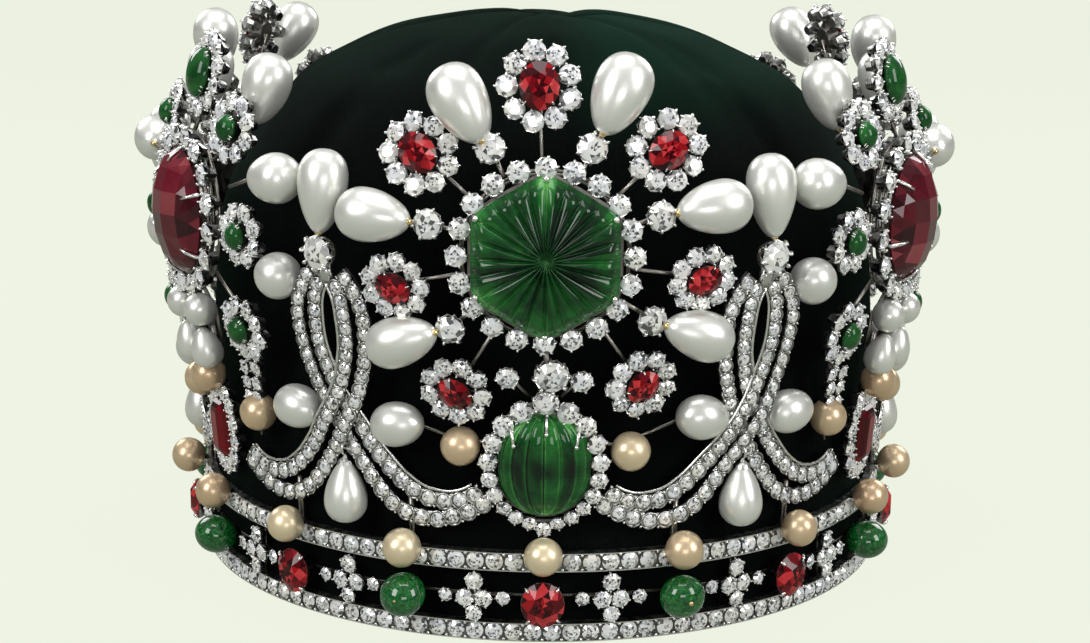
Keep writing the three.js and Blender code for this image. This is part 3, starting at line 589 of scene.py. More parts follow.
def chequer_stone(rx, ry, deep, pitch=5.3, low=2.8, seed=3, bright=0.52, spread=0.24):
    """oval dome cut in a chequerboard of square facets set on their corners, closed below the girdle"""
    from mathutils.geometry import delaunay_2d_cdt
    g = np.random.default_rng(seed)
    hz = lambda x, y: low + 1.0 + (deep - low - 1.0) * max(0.0, 1 - min(1.0, (x / rx) ** 2 + (y / ry) ** 2)) ** 0.75
    pts, n = [], 28
    for q in (1.0, 0.9):
        pts += [(rx * q * math.cos(2 * math.pi * (i + (q < 1) * 0.5) / n), ry * q * math.sin(2 * math.pi * (i + (q < 1) * 0.5) / n)) for i in range(n)]
    k = pitch
    cells = {}
    for i in range(-12, 13):
        for j in range(-12, 13):
            x, y = (i + 0.5) * k, j * k
            if (x / rx) ** 2 + (y / ry) ** 2 < 0.8 ** 2:
                cells[(i, j)] = len(pts); pts.append((x, y))
    edges = [(i, (i + 1) % n) for i in range(n)]
    for (i, j), a in cells.items():
        for d in ((1, 0), (0, 1)):
            b = cells.get((i + d[0], j + d[1]))
            if b is not None: edges.append((a, b))
    vv, ee, ff, *_ = delaunay_2d_cdt([Vector(p) for p in pts], edges, [], 1, 1e-5)
    v = []
    for p in vv:
        e = math.sqrt((p.x / rx) ** 2 + (p.y / ry) ** 2)
        v.append((p.x, p.y, low if e > 0.995 else hz(p.x, p.y) - (0.25 if e > 0.85 else 0)))
    f, val, tone = [], [], {}
    for t in ff:
        cx, cy = sum(v[i][0] for i in t) / 3, sum(v[i][1] for i in t) / 3
        e = math.sqrt((cx / rx) ** 2 + (cy / ry) ** 2)
        # each square facet and each sector of the band round the edge gets its own random brightness: painted facet
        # reflections
        key = (math.floor(cx / k - 0.5), math.floor(cy / k)) if e < 0.74 else (99, int((math.atan2(cy, cx) + math.pi) / (2 * math.pi) * n * (1 if e > 0.93 else 0.5)) + (100 if e > 0.93 else 0))
        if key not in tone: tone[key] = float(np.clip(bright + g.normal(0, spread), 0.08, 1.0))
        f.append(tuple(t)); val.append(tone[key])
    rim = sorted((i for i in range(len(v)) if math.hypot(v[i][0] / rx, v[i][1] / ry) > 0.995), key=lambda i: math.atan2(v[i][1] / ry, v[i][0] / rx))
    prev = rim
    for q, zz in ((0.99, low - 0.6), (0.72, 0.3)):
        row = []
        for i in rim:
            v.append((v[i][0] * q, v[i][1] * q, zz)); row.append(len(v) - 1)
        for i in range(len(rim)):
            j = (i + 1) % len(rim)
            f.append((prev[i], row[i], row[j], prev[j])); val.append(0.3)
        prev = row
    f.append(tuple(prev)[::-1]); val.append(0.1)
    # faces from the triangulation may face down: make them face out
    out = []
    for x in f[:len(ff)]:
        a, b, c = (np.array(v[i]) for i in x)
        out.append(x if np.cross(b - a, c - a)[2] > 0 else x[::-1])
    return Tpl(v, out + f[len(ff):], val, False)

def step_cut(rx, ry, deep, seed=5):
    g = np.random.default_rng(seed)
    cut = 0.32
    def ring(sx, sy, z):
        x, y = rx * sx, ry * sy
        c = cut * rx * sx
        return [(x, -(y - c), z), (x, y - c, z), (x - c, y, z), (-(x - c), y, z), (-x, y - c, z), (-x, -(y - c), z), (-(x - c), -y, z), (x - c, -y, z)]
    rings = [ring(0.72, 0.84, 0.2), ring(1, 1, 1.9), ring(1, 1, 2.3), ring(0.82, 0.9, 3.2), ring(0.62, 0.79, 3.9), ring(0.42, 0.66, 4.3)]
    t = ring_stack(rings, 8)
    # a random value per facet: painted facet reflections
    t.val = np.clip(g.normal(0.5, 0.22, len(t.c)), 0.1, 1)
    return t

HEX_T, FLUTE_T = hexagon_emerald(), fluted_emerald()
CHEQUER_T = chequer_stone(12.3, 15.0, 9.2)
BAR_T = step_cut(4.0, 7.2, 4.4)
def cabochon(rx, ry, h, n=24, m=7, val=0.5):
    rings = [(rx * 0.8, ry * 0.8, -0.6), (rx, ry, 0.0)]
    for j in range(1, m):
        a = math.pi / 2 * j / m
        rings.append((rx * math.cos(a), ry * math.cos(a), h * math.sin(a)))
    return ring_stack(rings, n, val, [True] * (n * (len(rings) - 1)) + [False, True])

def fresh():
    return {k: Build() for k in "DSWGPORE"}   # diamonds, settings, wires, gold caps, white pearls, golden pearls, reds, emeralds

def wire(C, pts, r, n=6, val=0.6):
    C["W"].add(tube([np.asarray(p)[:3] for p in pts], r, n, val))
def at(deg, z, off=0.0):
    return frame_at(deg, z, off)[:3, 3]
def flat(z0, x, y, off, deg=0.0):
    return (frame_at(deg, z0) @ np.array([x, y, off, 1.0]))[:3]

# ---------------------------------------------------------------- sunburst
SUN_SYM = dict(
    hexa=(0, 91.7), top=(0, 128.0), ul=(-16.05, 113.3), ur=(16.05, 113.3), ml=(-20.0, 85.2), mr=(20.0, 85.2), ll=(-12.4, 62.0), lr=(12.4, 62.0),
    holders=[(-6.4, 114.5), (6.4, 114.5), (-14.4, 99.4), (14.4, 99.4), (-12.9, 76.8), (12.9, 76.8)],
    drops=[(-10.4, 126.0, -7.7, 118.0), (10.4, 126.0, 7.7, 118.0), (-21.4, 100.8, -16.2, 100.1), (21.4, 100.8, 16.2, 100.1), (-19.4, 72.6, -14.4, 75.8), (19.4, 72.6, 14.4, 75.8)],
    d=[(0.3, 65.6, 3.7), (0.1, 59.0, 2.8), (-5.0, 64.6, 2.4), (5.0, 64.2, 2.4)],
    gold=[(-12.0, 46.6), (12.2, 46.2)], oval=[(-21.8, 51.6), (21.8, 52.2)])
SUN_FRONT = dict(
    hexa=(-0.2, 92.2), top=(-1.2, 127.6), ul=(-16.6, 112.9), ur=(15.4, 114.0), ml=(-19.6, 84.2), mr=(20.2, 86.4), ll=(-12.1, 60.7), lr=(13.0, 62.7),
    holders=[(-7.3, 114.4), (5.6, 114.7), (-14.9, 98.4), (14.2, 100.5), (-12.3, 75.7), (13.6, 77.8)],
    drops=[(-11.0, 123.2, -8.2, 115.8), (9.0, 125.6, 6.7, 117.6), (-21.6, 99.6, -16.5, 98.9), (20.7, 102.0, 15.6, 101.2), (-18.4, 73.0, -13.4, 75.8), (19.5, 74.9, 14.7, 77.6)],
    d=[(0.8, 65.6, 3.7), (0.1, 59.0, 2.8), (-5.0, 64.8, 2.4), (4.8, 64.1, 2.4)],
    gold=[(-11.9, 46.9), (12.3, 45.9)], oval=[(-21.2, 50.9), (22.8, 53.0)])
DROP_SIZE = [(18.6, 12.5), (18.6, 12.5), (17.2, 11.8), (17.4, 11.8), (17.0, 11.2), (16.8, 11.2)]

def hex_ring(C, M, count, rad, r, off, sx=1.0, sy=1.0, start=0.0, taper=None, kinds=None, depth=1.15):
    for i in range(count):
        a = start + 2 * math.pi * i / count
        rr = r if taper is None else taper(a)
        x, y = rad * sx * math.cos(a), rad * sy * math.sin(a)
        L = M @ move(x, y, off) @ rotz(a) @ roty(0.06 + rng.normal(0, 0.06)) @ rotx(rng.normal(0, 0.06))
        stone(C["D"], C["S"], L, rr, claws=int(rng.choice([5, 6, 6])), depth=depth, kinds=kinds)

def sunburst(T, P):
    C = fresh()
    H = frame_at(*P["hexa"])
    C["E"].add(HEX_T, H)
    carved = C["E"]; C["E"] = Build()
    # ring of twenty diamonds and the wire gallery they stand on
    hex_ring(C, H, 20, 19.35, 2.36, 2.5)
    for rad, z, r in ((17.9, 0.7, 0.42), (18.4, -0.8, 0.5)):
        C["W"].add(closed_tube([(H @ np.array([rad * math.cos(a), rad * math.sin(a), z, 1]))[:3] for a in np.linspace(0, 2 * math.pi, 60, False)], r, 6, 0.25))
    for i in range(20):
        a = 2 * math.pi * i / 20
        wire(C, [(H @ np.array([17.9 * math.cos(a), 17.9 * math.sin(a), 0.4, 1]))[:3], (H @ np.array([20.4 * math.cos(a), 20.4 * math.sin(a), -0.7, 1]))[:3]], 0.35, 5, 0.6)
    # bezel under the hexagon and its six claws
    th = np.arange(48) * 2 * math.pi / 48
    Rh = sum(np.abs(np.cos(th - math.radians(k))) ** 13 for k in (0, 60, 120)) ** (-1 / 13) * 15.6
    C["W"].add(ring_stack([[(R * s * math.cos(t), R * s * math.sin(t), z) for R, t in zip(Rh, th)] for s, z in ((0.9, -0.6), (1.06, 0.4), (1.075, 2.0), (1.03, 2.2), (1.0, 1.2))], 48, 0.5), H)
    for k in range(6):
        a = math.radians(30 + 60 * k)
        C["S"].add(BEAD_S, H @ move(17.35 * math.cos(a), 17.35 * math.sin(a), 4.3) @ scale(0.72, 0.72, 0.6), shift=0.2)
        C["S"].add(tube([(H @ np.array([17.9 * math.cos(a), 17.9 * math.sin(a), 0.2, 1]))[:3], (H @ np.array([17.8 * math.cos(a), 17.8 * math.sin(a), 2.8, 1]))[:3], (H @ np.array([17.3 * math.cos(a), 17.3 * math.sin(a), 4.3, 1]))[:3]], 0.42, 6, 0.9))
    # seven ruby clusters
    R = Build()
    for key, rr, gx, gy, count, sr, roll in (("top", 7.35, 4.4, 5.4, 9, 2.36, 0.0), ("ul", 6.95, 4.0, 4.9, 9, 2.3, 0.75), ("ur", 6.95, 4.0, 4.9, 9, 2.3, -0.9), ("ml", 5.9, 3.3, 4.2, 9, 2.1, 1.1), ("mr", 5.9, 3.3, 4.1, 9, 2.1, -1.2), ("ll", 6.1, 3.4, 4.2, 9, 2.15, 0.9), ("lr", 6.1, 3.4, 4.2, 9, 2.15, -0.6)):
        d, z = P[key]
        base = cluster(C, d, z, 0, rr, count, "R", (gx, gy, 0.95, 1.04), off=2.4, roll=roll, stones=sr)
        oval_gem(R, base @ move(0, 0, 1.0), gx, gy, RUBY_T, 0.9)
        claws_on(C["S"], base, gx * 0.97, gy * 0.97, 4, 1.3, 0.62, 0.78, 0.25)
        # the ray from the hexagon's gallery
        x, y = math.radians(d - P["hexa"][0]) * 97, z - P["hexa"][1]
        q = 19.0 / math.hypot(x, y)
        wire(C, [flat(P["hexa"][1], x * q, y * q, -0.9, P["hexa"][0]), at(d, z, -0.6)], 0.42, 6, 0.9)
    C["R"] = R
    # pearls in their holders
    pearls = Build(); gold = Build(); caps = Build()
    for (d, z), (pd, pz, nd, nz), (l, w) in zip(P["holders"], P["drops"], DROP_SIZE):
        stone(C["D"], C["S"], frame_at(d, z, 3.3) @ rotz(0.3), 3.2, claws=6, depth=0.95)
        M = pearl_on(pearls, pd, pz, nd, nz, l, w, 4.6, 0.24)
        gold_cap(caps, M, l)
        x, y = math.radians(d - P["hexa"][0]) * 97, z - P["hexa"][1]
        q = 19.0 / math.hypot(x, y)
        wire(C, [flat(P["hexa"][1], x * q, y * q, -0.9, P["hexa"][0]), at(d, z, 0.2)], 0.5, 6, 0.9)
        wire(C, [at(d, z, 0.6), (M @ np.array([0, -l / 2 + 0.6, 0, 1]))[:3]], 0.5, 6, 0.9)
    # stem and side diamonds
    for d, z, r in P["d"]:
        stone(C["D"], C["S"], frame_at(d, z, 3.6 if r > 3 else 3.0), r, claws=6 if r < 3 else 8, depth=0.95)
    wire(C, [flat(P["hexa"][1], 0, -20, -0.6, P["hexa"][0]), at(0.4, 65.4, 0.4), at(0.1, 55.6, 0.4)], 0.7, 6, 0.8)
    for k in (2, 3):
        d, z, r = P["d"][k]
        wire(C, [at(d, z, 0.9), at(d * 0.45, 59.5, 0.3)], 0.42, 6, 0.8)
    # fluted stone, its ring of diamonds, three claws
    F = frame_at(0, FLUTED_Z)
    egg = Build(); egg.add(FLUTE_T, F)
    tap = lambda a: 1.62 + 1.02 * (0.5 + 0.5 * math.sin(a)) ** 1.0
    n = 19
    angles = []
    a = math.pi / 2
    # stones walk round from the top, spaced by their own size
    per = lambda t: math.hypot(12.7 * math.sin(t), 14.3 * math.cos(t))
    for sgn in (1, -1):
        t = math.pi / 2
        k = 0
        while True:
            r0 = tap(t)
            if k: 
                hex_pt = t
                x, y = 12.7 * math.cos(t), 14.3 * math.sin(t)
                stone(C["D"], C["S"], F @ move(x, y, 2.2) @ rotz(t) @ roty(0.1 + rng.normal(0, 0.05)), r0 * 0.97, claws=int(rng.choice([4, 5, 6])), depth=1.2)
            t2 = t + sgn * (2.06 * r0) / per(t)
            for _ in range(3):
                t2 = t + sgn * (r0 + tap(t2) + 0.12) / per((t + t2) / 2)
            t = t2; k += 1
            if sgn * (t - math.pi / 2) > math.pi - 0.09: break
    x, y = 0, -14.6
    stone(C["D"], C["S"], F @ move(0, -15.4, 2.0), 1.75, claws=4, depth=1.2)
    for rad, z, r in ((11.2, 0.3, 0.45), (12.9, -0.8, 0.55)):
        C["W"].add(closed_tube([(F @ np.array([rad * math.cos(a), rad * 1.12 * math.sin(a), z, 1]))[:3] for a in np.linspace(0, 2 * math.pi, 48, False)], r, 6, 0.5))
    wire(C, [(F @ np.array([0, -14.5, -0.4, 1]))[:3], (F @ np.array([0, -17.6, -0.4, 1]))[:3]], 0.6, 6, 0.7)
    for x in (-7.4, 0.4, 7.6):
        y = 12.2 * math.sqrt(max(0, 1 - (x / 11.2) ** 2))
        C["S"].add(tube([(F @ np.array([x * 1.04, y * 1.02 + 0.8, 1.5, 1]))[:3], (F @ np.array([x, y - 0.4, 3.2 + (0.5 if x == 0.4 else 0)]+[1]))[:3], (F @ np.array([x * 0.93, y - 2.8, 4.9 + (0.6 if x == 0.4 else 0), 1]))[:3]], [0.42, 0.42, 0.34], 6, 1.0))
        C["S"].add(BEAD_S, F @ move(x * 0.93, y - 2.9, 4.9 + (0.6 if x == 0.4 else 0)) @ scale(0.55), shift=0.2)
    # golden and oval pearls on their wires
    for (d, z), s in zip(P["gold"], (-1, 1)):
        gold.add(pearl(9.0, 9.0, 0.02), frame_at(d, z, 1.2), gain=0.5 if s < 0 else 0.78)
        wire(C, [at(d, z, -1.5), at(s * 8.3, 47.5, -0.6)], 0.45, 6, 0.6)
    for (d, z), s in zip(P["oval"], (-1, 1)):
        pearls.add(pearl(12.9, 10.2, 0.06), frame_at(d, z, 1.2) @ rotz(math.pi / 2 - s * 0.12))
        wire(C, [at(d, z, -1.8), at(s * 12, 47, -1.6)], 0.4, 6, 0.5)
    C["P"], C["O"], C["G"] = pearls, gold, caps
    return C, carved, egg

def ship(C, prefix, suffix, mapping):
    """mapping: key -> (piece name, material, slot, nodes it stands for)"""
    for k, (nm, mat, sl, rep) in mapping.items():
        b = C[k]
        if b.n:
            make(f"{nm}_{suffix}", b, mat, stands_for=rep)

for m, side in enumerate(("front", "right", "left")):
    C, carved, egg = sunburst(120 * m, SUN_FRONT if m == 0 else SUN_SYM)
    for k in C: C[k] = C[k].turned(120 * m)
    ship(C, "", side, {
        "D": ("sunburst_diamonds", DIAMOND, "pave", ()), "S": ("sunburst_settings", PLATINUM, "platinum", ()),
        "W": ("sunburst_rays", DARKWIRE, "platinum", (f"sunburst_frame_{side}",)), "G": ("sunburst_pearl_caps", GOLD, "golden_pearl", ()),
        "R": ("sunburst_rubies", RUBY, "ruby", (f"ruby_spray_{side}",)), "P": ("sunburst_pearls", WHITE, "white_pearl", (f"pearl_spray_{side}",)),
        "O": ("sunburst_golden_pearls", GOLDEN, "golden_pearl", ())})
    make(f"carved_hexagon_{side}", carved.turned(120 * m), EMERALD, stands_for=(f"hexagon_emerald_{side}",))
    make(f"fluted_egg_{side}", egg.turned(120 * m), EMERALD, stands_for=(f"fluted_emerald_{side}",))

# ---------------------------------------------------------------- rosette
def rosette(back=False):
    C = fresh()
    H = frame_at(0, RED_Z)
    red = Build(); red.add(CHEQUER_T, H)
    hex_ring(C, H, 16, 1.0, 2.5, 2.3, sx=15.6, sy=18.2, start=math.pi / 16)
    for sx, sy, z, r in ((13.2, 15.9, 0.9, 0.5), (13.4, 16.1, -0.3, 0.5), (16.0, 18.7, -0.9, 0.5)):
        C["W"].add(closed_tube([(H @ np.array([sx * math.cos(a), sy * math.sin(a), z, 1]))[:3] for a in np.linspace(0, 2 * math.pi, 48, False)], r, 6, 0.6))
    C["W"].add(ring_stack([(10.5, 13.0, -0.5), (12.7, 15.4, 0.4), (12.75, 15.45, 2.2), (12.2, 14.9, 2.3), (12.0, 14.7, 1.0)], 40, 0.5), H)
    for k in range(6):
        a = math.radians(20 + 60 * k)
        p = [(13.2, 1.2), (12.7, 3.3), (11.5, 5.2), (10.3, 6.3)]
        C["S"].add(tube([(H @ np.array([x * math.cos(a), x * 1.2 * math.sin(a), z, 1]))[:3] for x, z in p], [0.5, 0.5, 0.42, 0.3], 6, 1.0))
    E = Build()
    rows = [(0, 125.2, 8.0, 4.75, 6.15, 11, 2.2), (11.4, 114.1, 6.1, 3.0, 3.3, 9, 2.2), (-11.4, 114.1, 6.1, 3.0, 3.3, 9, 2.2), (15.2, 91.0, 5.5, 2.7, 3.3, 8, 2.1), (-15.2, 91.0, 5.5, 2.7, 3.3, 8, 2.1), (12.9, 68.2, 5.9, 3.1, 3.3, 9, 2.15), (-12.9, 68.2, 5.9, 3.1, 3.3, 9, 2.15)]
    if back:
        rows[0] = (0, 122.6, 6.9, 4.1, 5.2, 10, 1.95)
    for i, (d, z, rr, gx, gy, count, sr) in enumerate(rows):
        sq = (0.9, 1.04) if i == 0 else (1.0, 1.02)
        base = cluster(C, d, z, 0, rr, count, "E", (gx, gy, *sq), off=2.4 if i else 2.0, stones=sr)
        E.add(cabochon(gx, gy, 2.6 if i else 3.2, val=0.52), base @ move(0, 0, 0.6))
        claws_on(C["S"], base, gx * 0.95, gy * 0.95, 4, 1.3, 0.62, 0.78, 0.3)
        claws_on(C["S"], base, gx * 0.95, gy * 0.95, 4, 1.3, 0.62, 0.98, 0.3)
        x, y = math.radians(d) * 97, z - RED_Z
        a = math.atan2(y, x); q = 17.0 / math.hypot(x, y)
        wire(C, [flat(RED_Z, x * q, y * q, -0.9), at(d, z, -0.6)], 0.45, 6, 0.9)
    # stems of three small diamonds under the lowest clusters
    for s in (1, -1):
        for k in range(3):
            stone(C["D"], C["S"], frame_at(s * (13.4 - 0.5 * k), 58.2 - 3.9 * k, 1.6), 1.75, claws=4, depth=1.1)
            stone(C["D"], C["S"], frame_at(s * (10.4 - 0.2 * k), 57.6 - 3.8 * k, 1.4), 1.65, claws=4, depth=1.1)
        wire(C, [at(s * 13.2, 61, -0.2), at(s * 12.2, 49, -0.2), at(s * 10.6, 40, -0.4)], 0.5, 6, 0.6)
    pearls, gold, caps = Build(), Build(), Build()
    for s in (1, -1):
        M = pearl_on(pearls, s * 11.8, 124.4 - 3.6 * back, s * 11.0, 117.6 - 3.6 * back, 17.0 - back, 11.6, -4.8, 0.24); gold_cap(caps, M, 17.0)
        wire(C, [(M @ np.array([0, -8.2, 0, 1]))[:3], at(s * 7.5, 108, -2)], 0.5, 6, 0.8)
        M = pearl_on(pearls, s * 22.6, 105.0, s * 17.2, 104.2, 13.2, 11.4, 3.6, 0.15); gold_cap(caps, M, 13.2)
        wire(C, [(M @ np.array([0, -6.2, 0, 1]))[:3], at(s * 10.4, 101, -1)], 0.5, 6, 0.8)
        pearls.add(pearl(10.8, 10.8, 0.04), frame_at(s * 21.7, 83.0, 1.2))
        wire(C, [at(s * 21.7, 83, -2.4), at(s * 10, 88, -1.4)], 0.45, 6, 0.7)
        # hanging group: rounds above short drops
        pearls.add(pearl(8.0, 8.0, 0.03), frame_at(s * 3.3, 70.6, 3.8)); pearls.add(pearl(10.2, 7.8, 0.3), frame_at(s * 3.0, 61.2, 4.2) @ rotz(math.pi))
        wire(C, [at(s * 3.3, 70.4, -0.2), at(s * 3.1, 61.2, -0.2)], 0.5, 6, 0.7)
        wire(C, [at(s * 3.3, 70.4, 0.2), flat(RED_Z, s * 3.6, -17.5, -0.4)], 0.5, 6, 0.7)
        gold.add(pearl(9.0, 9.0, 0.02), frame_at(s * 11.9, 46.6, 1.2), gain=0.45); wire(C, [at(s * 11.9, 46.6, -1.8), at(s * 3.0, 42, -0.6)], 0.45, 6, 0.6)
        pearls.add(pearl(12.8, 10.1, 0.06), frame_at(s * 21.6, 51.2, 1.2) @ rotz(math.pi / 2 - s * 0.12)); wire(C, [at(s * 21.6, 51.2, -1.8), at(s * 12, 46.8, -1.8)], 0.4, 6, 0.5)
    # golden pearl over the step-cut ruby, and the ruby's own ring
    B = frame_at(0, BAR_Z)
    bar = Build(); bar.add(BAR_T, B)
    hex_ring(C, B, 14, 1.0, 2.1, 1.9, sx=6.8, sy=9.9, start=math.pi / 2)
    C["W"].add(ring_stack([(3.4, 6.2, -0.4), (4.5, 7.6, 0.4), (4.5, 7.6, 1.8), (4.1, 7.2, 1.9), (4.0, 7.0, 1.0)], 24, 0.5), B)
    claws_on(C["S"], B, 3.9, 6.9, 4, 2.2, 0.7, 0.62, 0.3)
    gold.add(pearl(8.6, 8.6, 0.02), frame_at(0, 52.9, 3.6), gain=0.4)
    wire(C, [at(0, 64, -0.4), at(0, 46, -0.4)], 0.7, 6, 0.8)
    C["P"], C["O"], C["G"], C["E"] = pearls, gold, caps, E
    return C, red, bar

for m, side in enumerate(("right", "back", "left")):
    C, red, bar = rosette(side == "back")
    T = 60 + 120 * m
    for k in C: C[k] = C[k].turned(T)
    ship(C, "", side, {
        "D": ("rosette_diamonds", DIAMOND, "pave", ()), "S": ("rosette_settings", PLATINUM, "platinum", ()),
        "W": ("rosette_wires", DARKWIRE, "platinum", (f"rosette_frame_{side}",)), "G": ("rosette_pearl_caps", GOLD, "golden_pearl", ()),
        "E": ("rosette_emeralds", EMERALD, "emerald", (f"emerald_spray_{side}",)), "P": ("rosette_white_pearls", WHITE, "white_pearl", (f"rosette_pearls_{side}",)),
        "O": ("rosette_golden_pearls", GOLDEN, "golden_pearl", ())})
    make(f"chequer_stone_{side}", red.turned(T), REDSTONE, stands_for=(f"red_stone_{side}",))
    make(f"step_cut_ruby_{side}", bar.turned(T), RUBY, stands_for=(f"ruby_bar_{side}",))

# ---------------------------------------------------------------- ribbon leaves
OUTER = [(2.2, 85.9), (3.6, 83), (4.5, 80.3), (5.1, 77.5), (5.35, 74.5), (5.3, 71.6), (5.07, 68), (4.7, 64.4), (4.08, 61), (3.3, 57.2), (2.1, 53), (0.7, 49.3), (-0.85, 45), (-2.4, 41.3), (-4.1, 37.5), (-6.4, 33), (-9, 30), (-12, 28.7), (-15, 28.8), (-17.7, 30), (-20.2, 32), (-22.3, 34.2)]
INNER = [(0.9, 84.3), (1.7, 81.6), (2.15, 78.7), (2.3, 75.5), (2.37, 72), (2.2, 68.2), (1.7, 64.6), (0.95, 60.5), (-0.1, 56.6), (-1.6, 52.4), (-3, 49), (-4.5, 45.2), (-6.1, 42), (-7.9, 38.8), (-9.8, 36.3), (-12, 34.2), (-14.4, 33.3), (-17, 33.3), (-19.4, 34.6), (-21, 36.5)]

def dense(path, step=0.8):
    """even points along a smooth curve through (deg, z) points"""
    p = np.array(path, float); q = p.copy(); q[:, 0] *= 1.64
    s = np.concatenate([[0], np.cumsum(np.linalg.norm(np.diff(q, axis=0), axis=1))])
    out = []
    n = len(p)
    for i in range(n - 1):
        p0, p1, p2, p3 = p[max(i - 1, 0)], p[i], p[i + 1], p[min(i + 2, n - 1)]
        for k in range(8):
            t = k / 8
            out.append(0.5 * ((2 * p1) + (-p0 + p2) * t + (2 * p0 - 5 * p1 + 4 * p2 - p3) * t * t + (-p0 + 3 * p1 - 3 * p2 + p3) * t ** 3))
    out.append(p[-1]); out = np.array(out)
    q = out.copy(); q[:, 0] *= 1.64
    s = np.concatenate([[0], np.cumsum(np.linalg.norm(np.diff(q, axis=0), axis=1))])
    n = max(2, int(round(s[-1] / step)))
    ss = np.linspace(0, s[-1], n + 1)
    return np.stack([np.interp(ss, s, out[:, 0]), np.interp(ss, s, out[:, 1])], 1), s[-1]

# face values paint light and shade on each stone's rim: the lower outer wall darkest, the top edge brightest as a
# painted highlight, the inner wall and base dark as painted shade
BEZEL = ring_stack([(1.0, 1.0, -0.75), (1.16, 1.16, -0.55), (1.17, 1.17, 0.2), (1.08, 1.08, 0.26), (0.98, 0.98, 0.08)], 14, [0.12] * 14 + [0.4] * 14 + [0.95] * 14 + [0.3] * 14 + [0.1, 0.1], [True] * 56 + [False] * 2)

def strand(C, path, lift, edge=0):
    """a run of pave stones, each in its own rim on a narrow spine painted in shade, some with a polished wire along one
    side painted bright as a highlight
    """
    pts, length = dense(path)
    F = [frame_at(d, z, lift(z)) for d, z in pts]
    P = np.array([f[:3, 3] for f in F]); N = np.array([f[:3, 2] for f in F]); Zs = P[:, 2]
    T = np.gradient(P, axis=0); T /= np.linalg.norm(T, axis=1)[:, None]
    S = np.cross(T, N); S /= np.linalg.norm(S, axis=1)[:, None]
    U = np.cross(S, T)
    size = lambda z: 1.62 + 0.2 * (1 - float(smooth(40, 56, z)))
    v, f, val = [], [], []
    m = 6
    for p, s_, u in zip(P, S, U):
        w = size(p[2]) * 0.9
        for x, y in ((-w, -1.1), (w, -1.1), (w, 0.1), (w * 0.8, 0.3), (-w * 0.8, 0.3), (-w, 0.1)): v.append(p + s_ * x + u * y)
    # face values paint shade on the spine: its top between the stones darkest, its underside and sides dark, all
    # painted shade
    for k in range(len(P) - 1):
        for i in range(m):
            a, b = k * m + i, k * m + (i + 1) % m
            f.append((a, b, b + m, a + m)); val.append([0.15, 0.3, 0.4, 0.05, 0.4, 0.3][i])
    f.append(tuple(range(m))[::-1]); f.append(tuple((len(P) - 1) * m + i for i in range(m))); val += [0.6, 0.6]
    C["S"].add(Tpl(v, f, val, False))
    if edge:
        C["S"].add(tube([p + s_ * edge * (size(p[2]) * 1.18 + 0.3) + u * 0.3 for p, s_, u in zip(P, S, U)][::2], 0.36, 6, 1.0))
    cum = np.concatenate([[0], np.cumsum(np.linalg.norm(np.diff(P, axis=0), axis=1))])
    q, last = 0.4, None
    spots = []
    while True:
        r = size(np.interp(q, cum, Zs))
        if q + r * 2.05 > cum[-1]: break
        spots.append((q + r * 1.02, r)); q += 2 * r * 1.02
    slack = (cum[-1] - 0.2 - q) / max(1, len(spots))
    for i, (q, r) in enumerate(spots):
        q += slack * (i + 0.5)
        c = np.array([np.interp(q, cum, P[:, k]) for k in range(3)])
        s_ = np.array([np.interp(q, cum, S[:, k]) for k in range(3)]); u = np.array([np.interp(q, cum, U[:, k]) for k in range(3)]); t = np.cross(u, s_)
        M = np.eye(4); M[:3, 0], M[:3, 1], M[:3, 2], M[:3, 3] = s_, t, u, c + u * 0.42
        stone(C["D"], None, M, r * 1.02, bright=1.12)
        C["S"].add(BEZEL, M @ scale(r * 0.98, r * 0.98, r))
        for side in (-1, 1):
            C["S"].add(BEAD, M @ move(side * r * 0.82, (r + slack / 2) * 1.0, 0.12) @ scale(0.36, 0.36, 0.34), shift=0.1)
    return P

WIRE_SIDE = 1
def leaf():
    C = fresh()
    lug = PENDANT
    low = lambda z: 0.9
    high = lambda z: 0.9 + 1.9 * math.exp(-((z - 51) / 7.5) ** 2)
    for mirror, lift in ((-1, low), (1, high)):
        strand(C, [(mirror * d, z) for d, z in OUTER], lift)
        strand(C, [(mirror * d, z) for d, z in INNER], lift, edge=mirror * WIRE_SIDE)
    stone(C["D"], C["S"], frame_at(0, 90.5, 3.9), 3.65, claws=8, depth=1.0)
    C["W"].add(ring_stack([(2.2, 2.2, -0.6), (3.4, 3.4, 1.4)], 14, 0.6), frame_at(0, 90.5, 0))
    C["S"].add(tube([at(0, 88, 0.7), at(0, 83.6, 0.9)], [1.3, 1.7], 8, 0.8))
    # eye, posts to the rail
    x = 1.7
    eye = lambda a, z: (a, -PENDANT["R"], z)
    for s in (-1, 1):
        C["S"].add(tube([eye(s * x, PENDANT["pivot"] - 0.3), eye(s * x, 49.5)], 0.34, 6, 0.8))
        wire(C, [at(s * 10.2, UPPER_RAIL[1] + 0.1, 0.0), at(s * 10.2, 33, 0.2)], 0.8, 6, 0.8)
    C["S"].add(tube([eye(-1.95, PENDANT["pivot"]), eye(1.95, PENDANT["pivot"])], 0.33, 6, 0.9))
    return C

def leaf_pearl():
    P, G = Build(), Build()
    M = frame_at(0, 103.5, 2.0)
    P.add(pearl(18.8, 11.3, 0.3), M); gold_cap(G, M, 18.8, 1.2, 1.0)
    return P, G

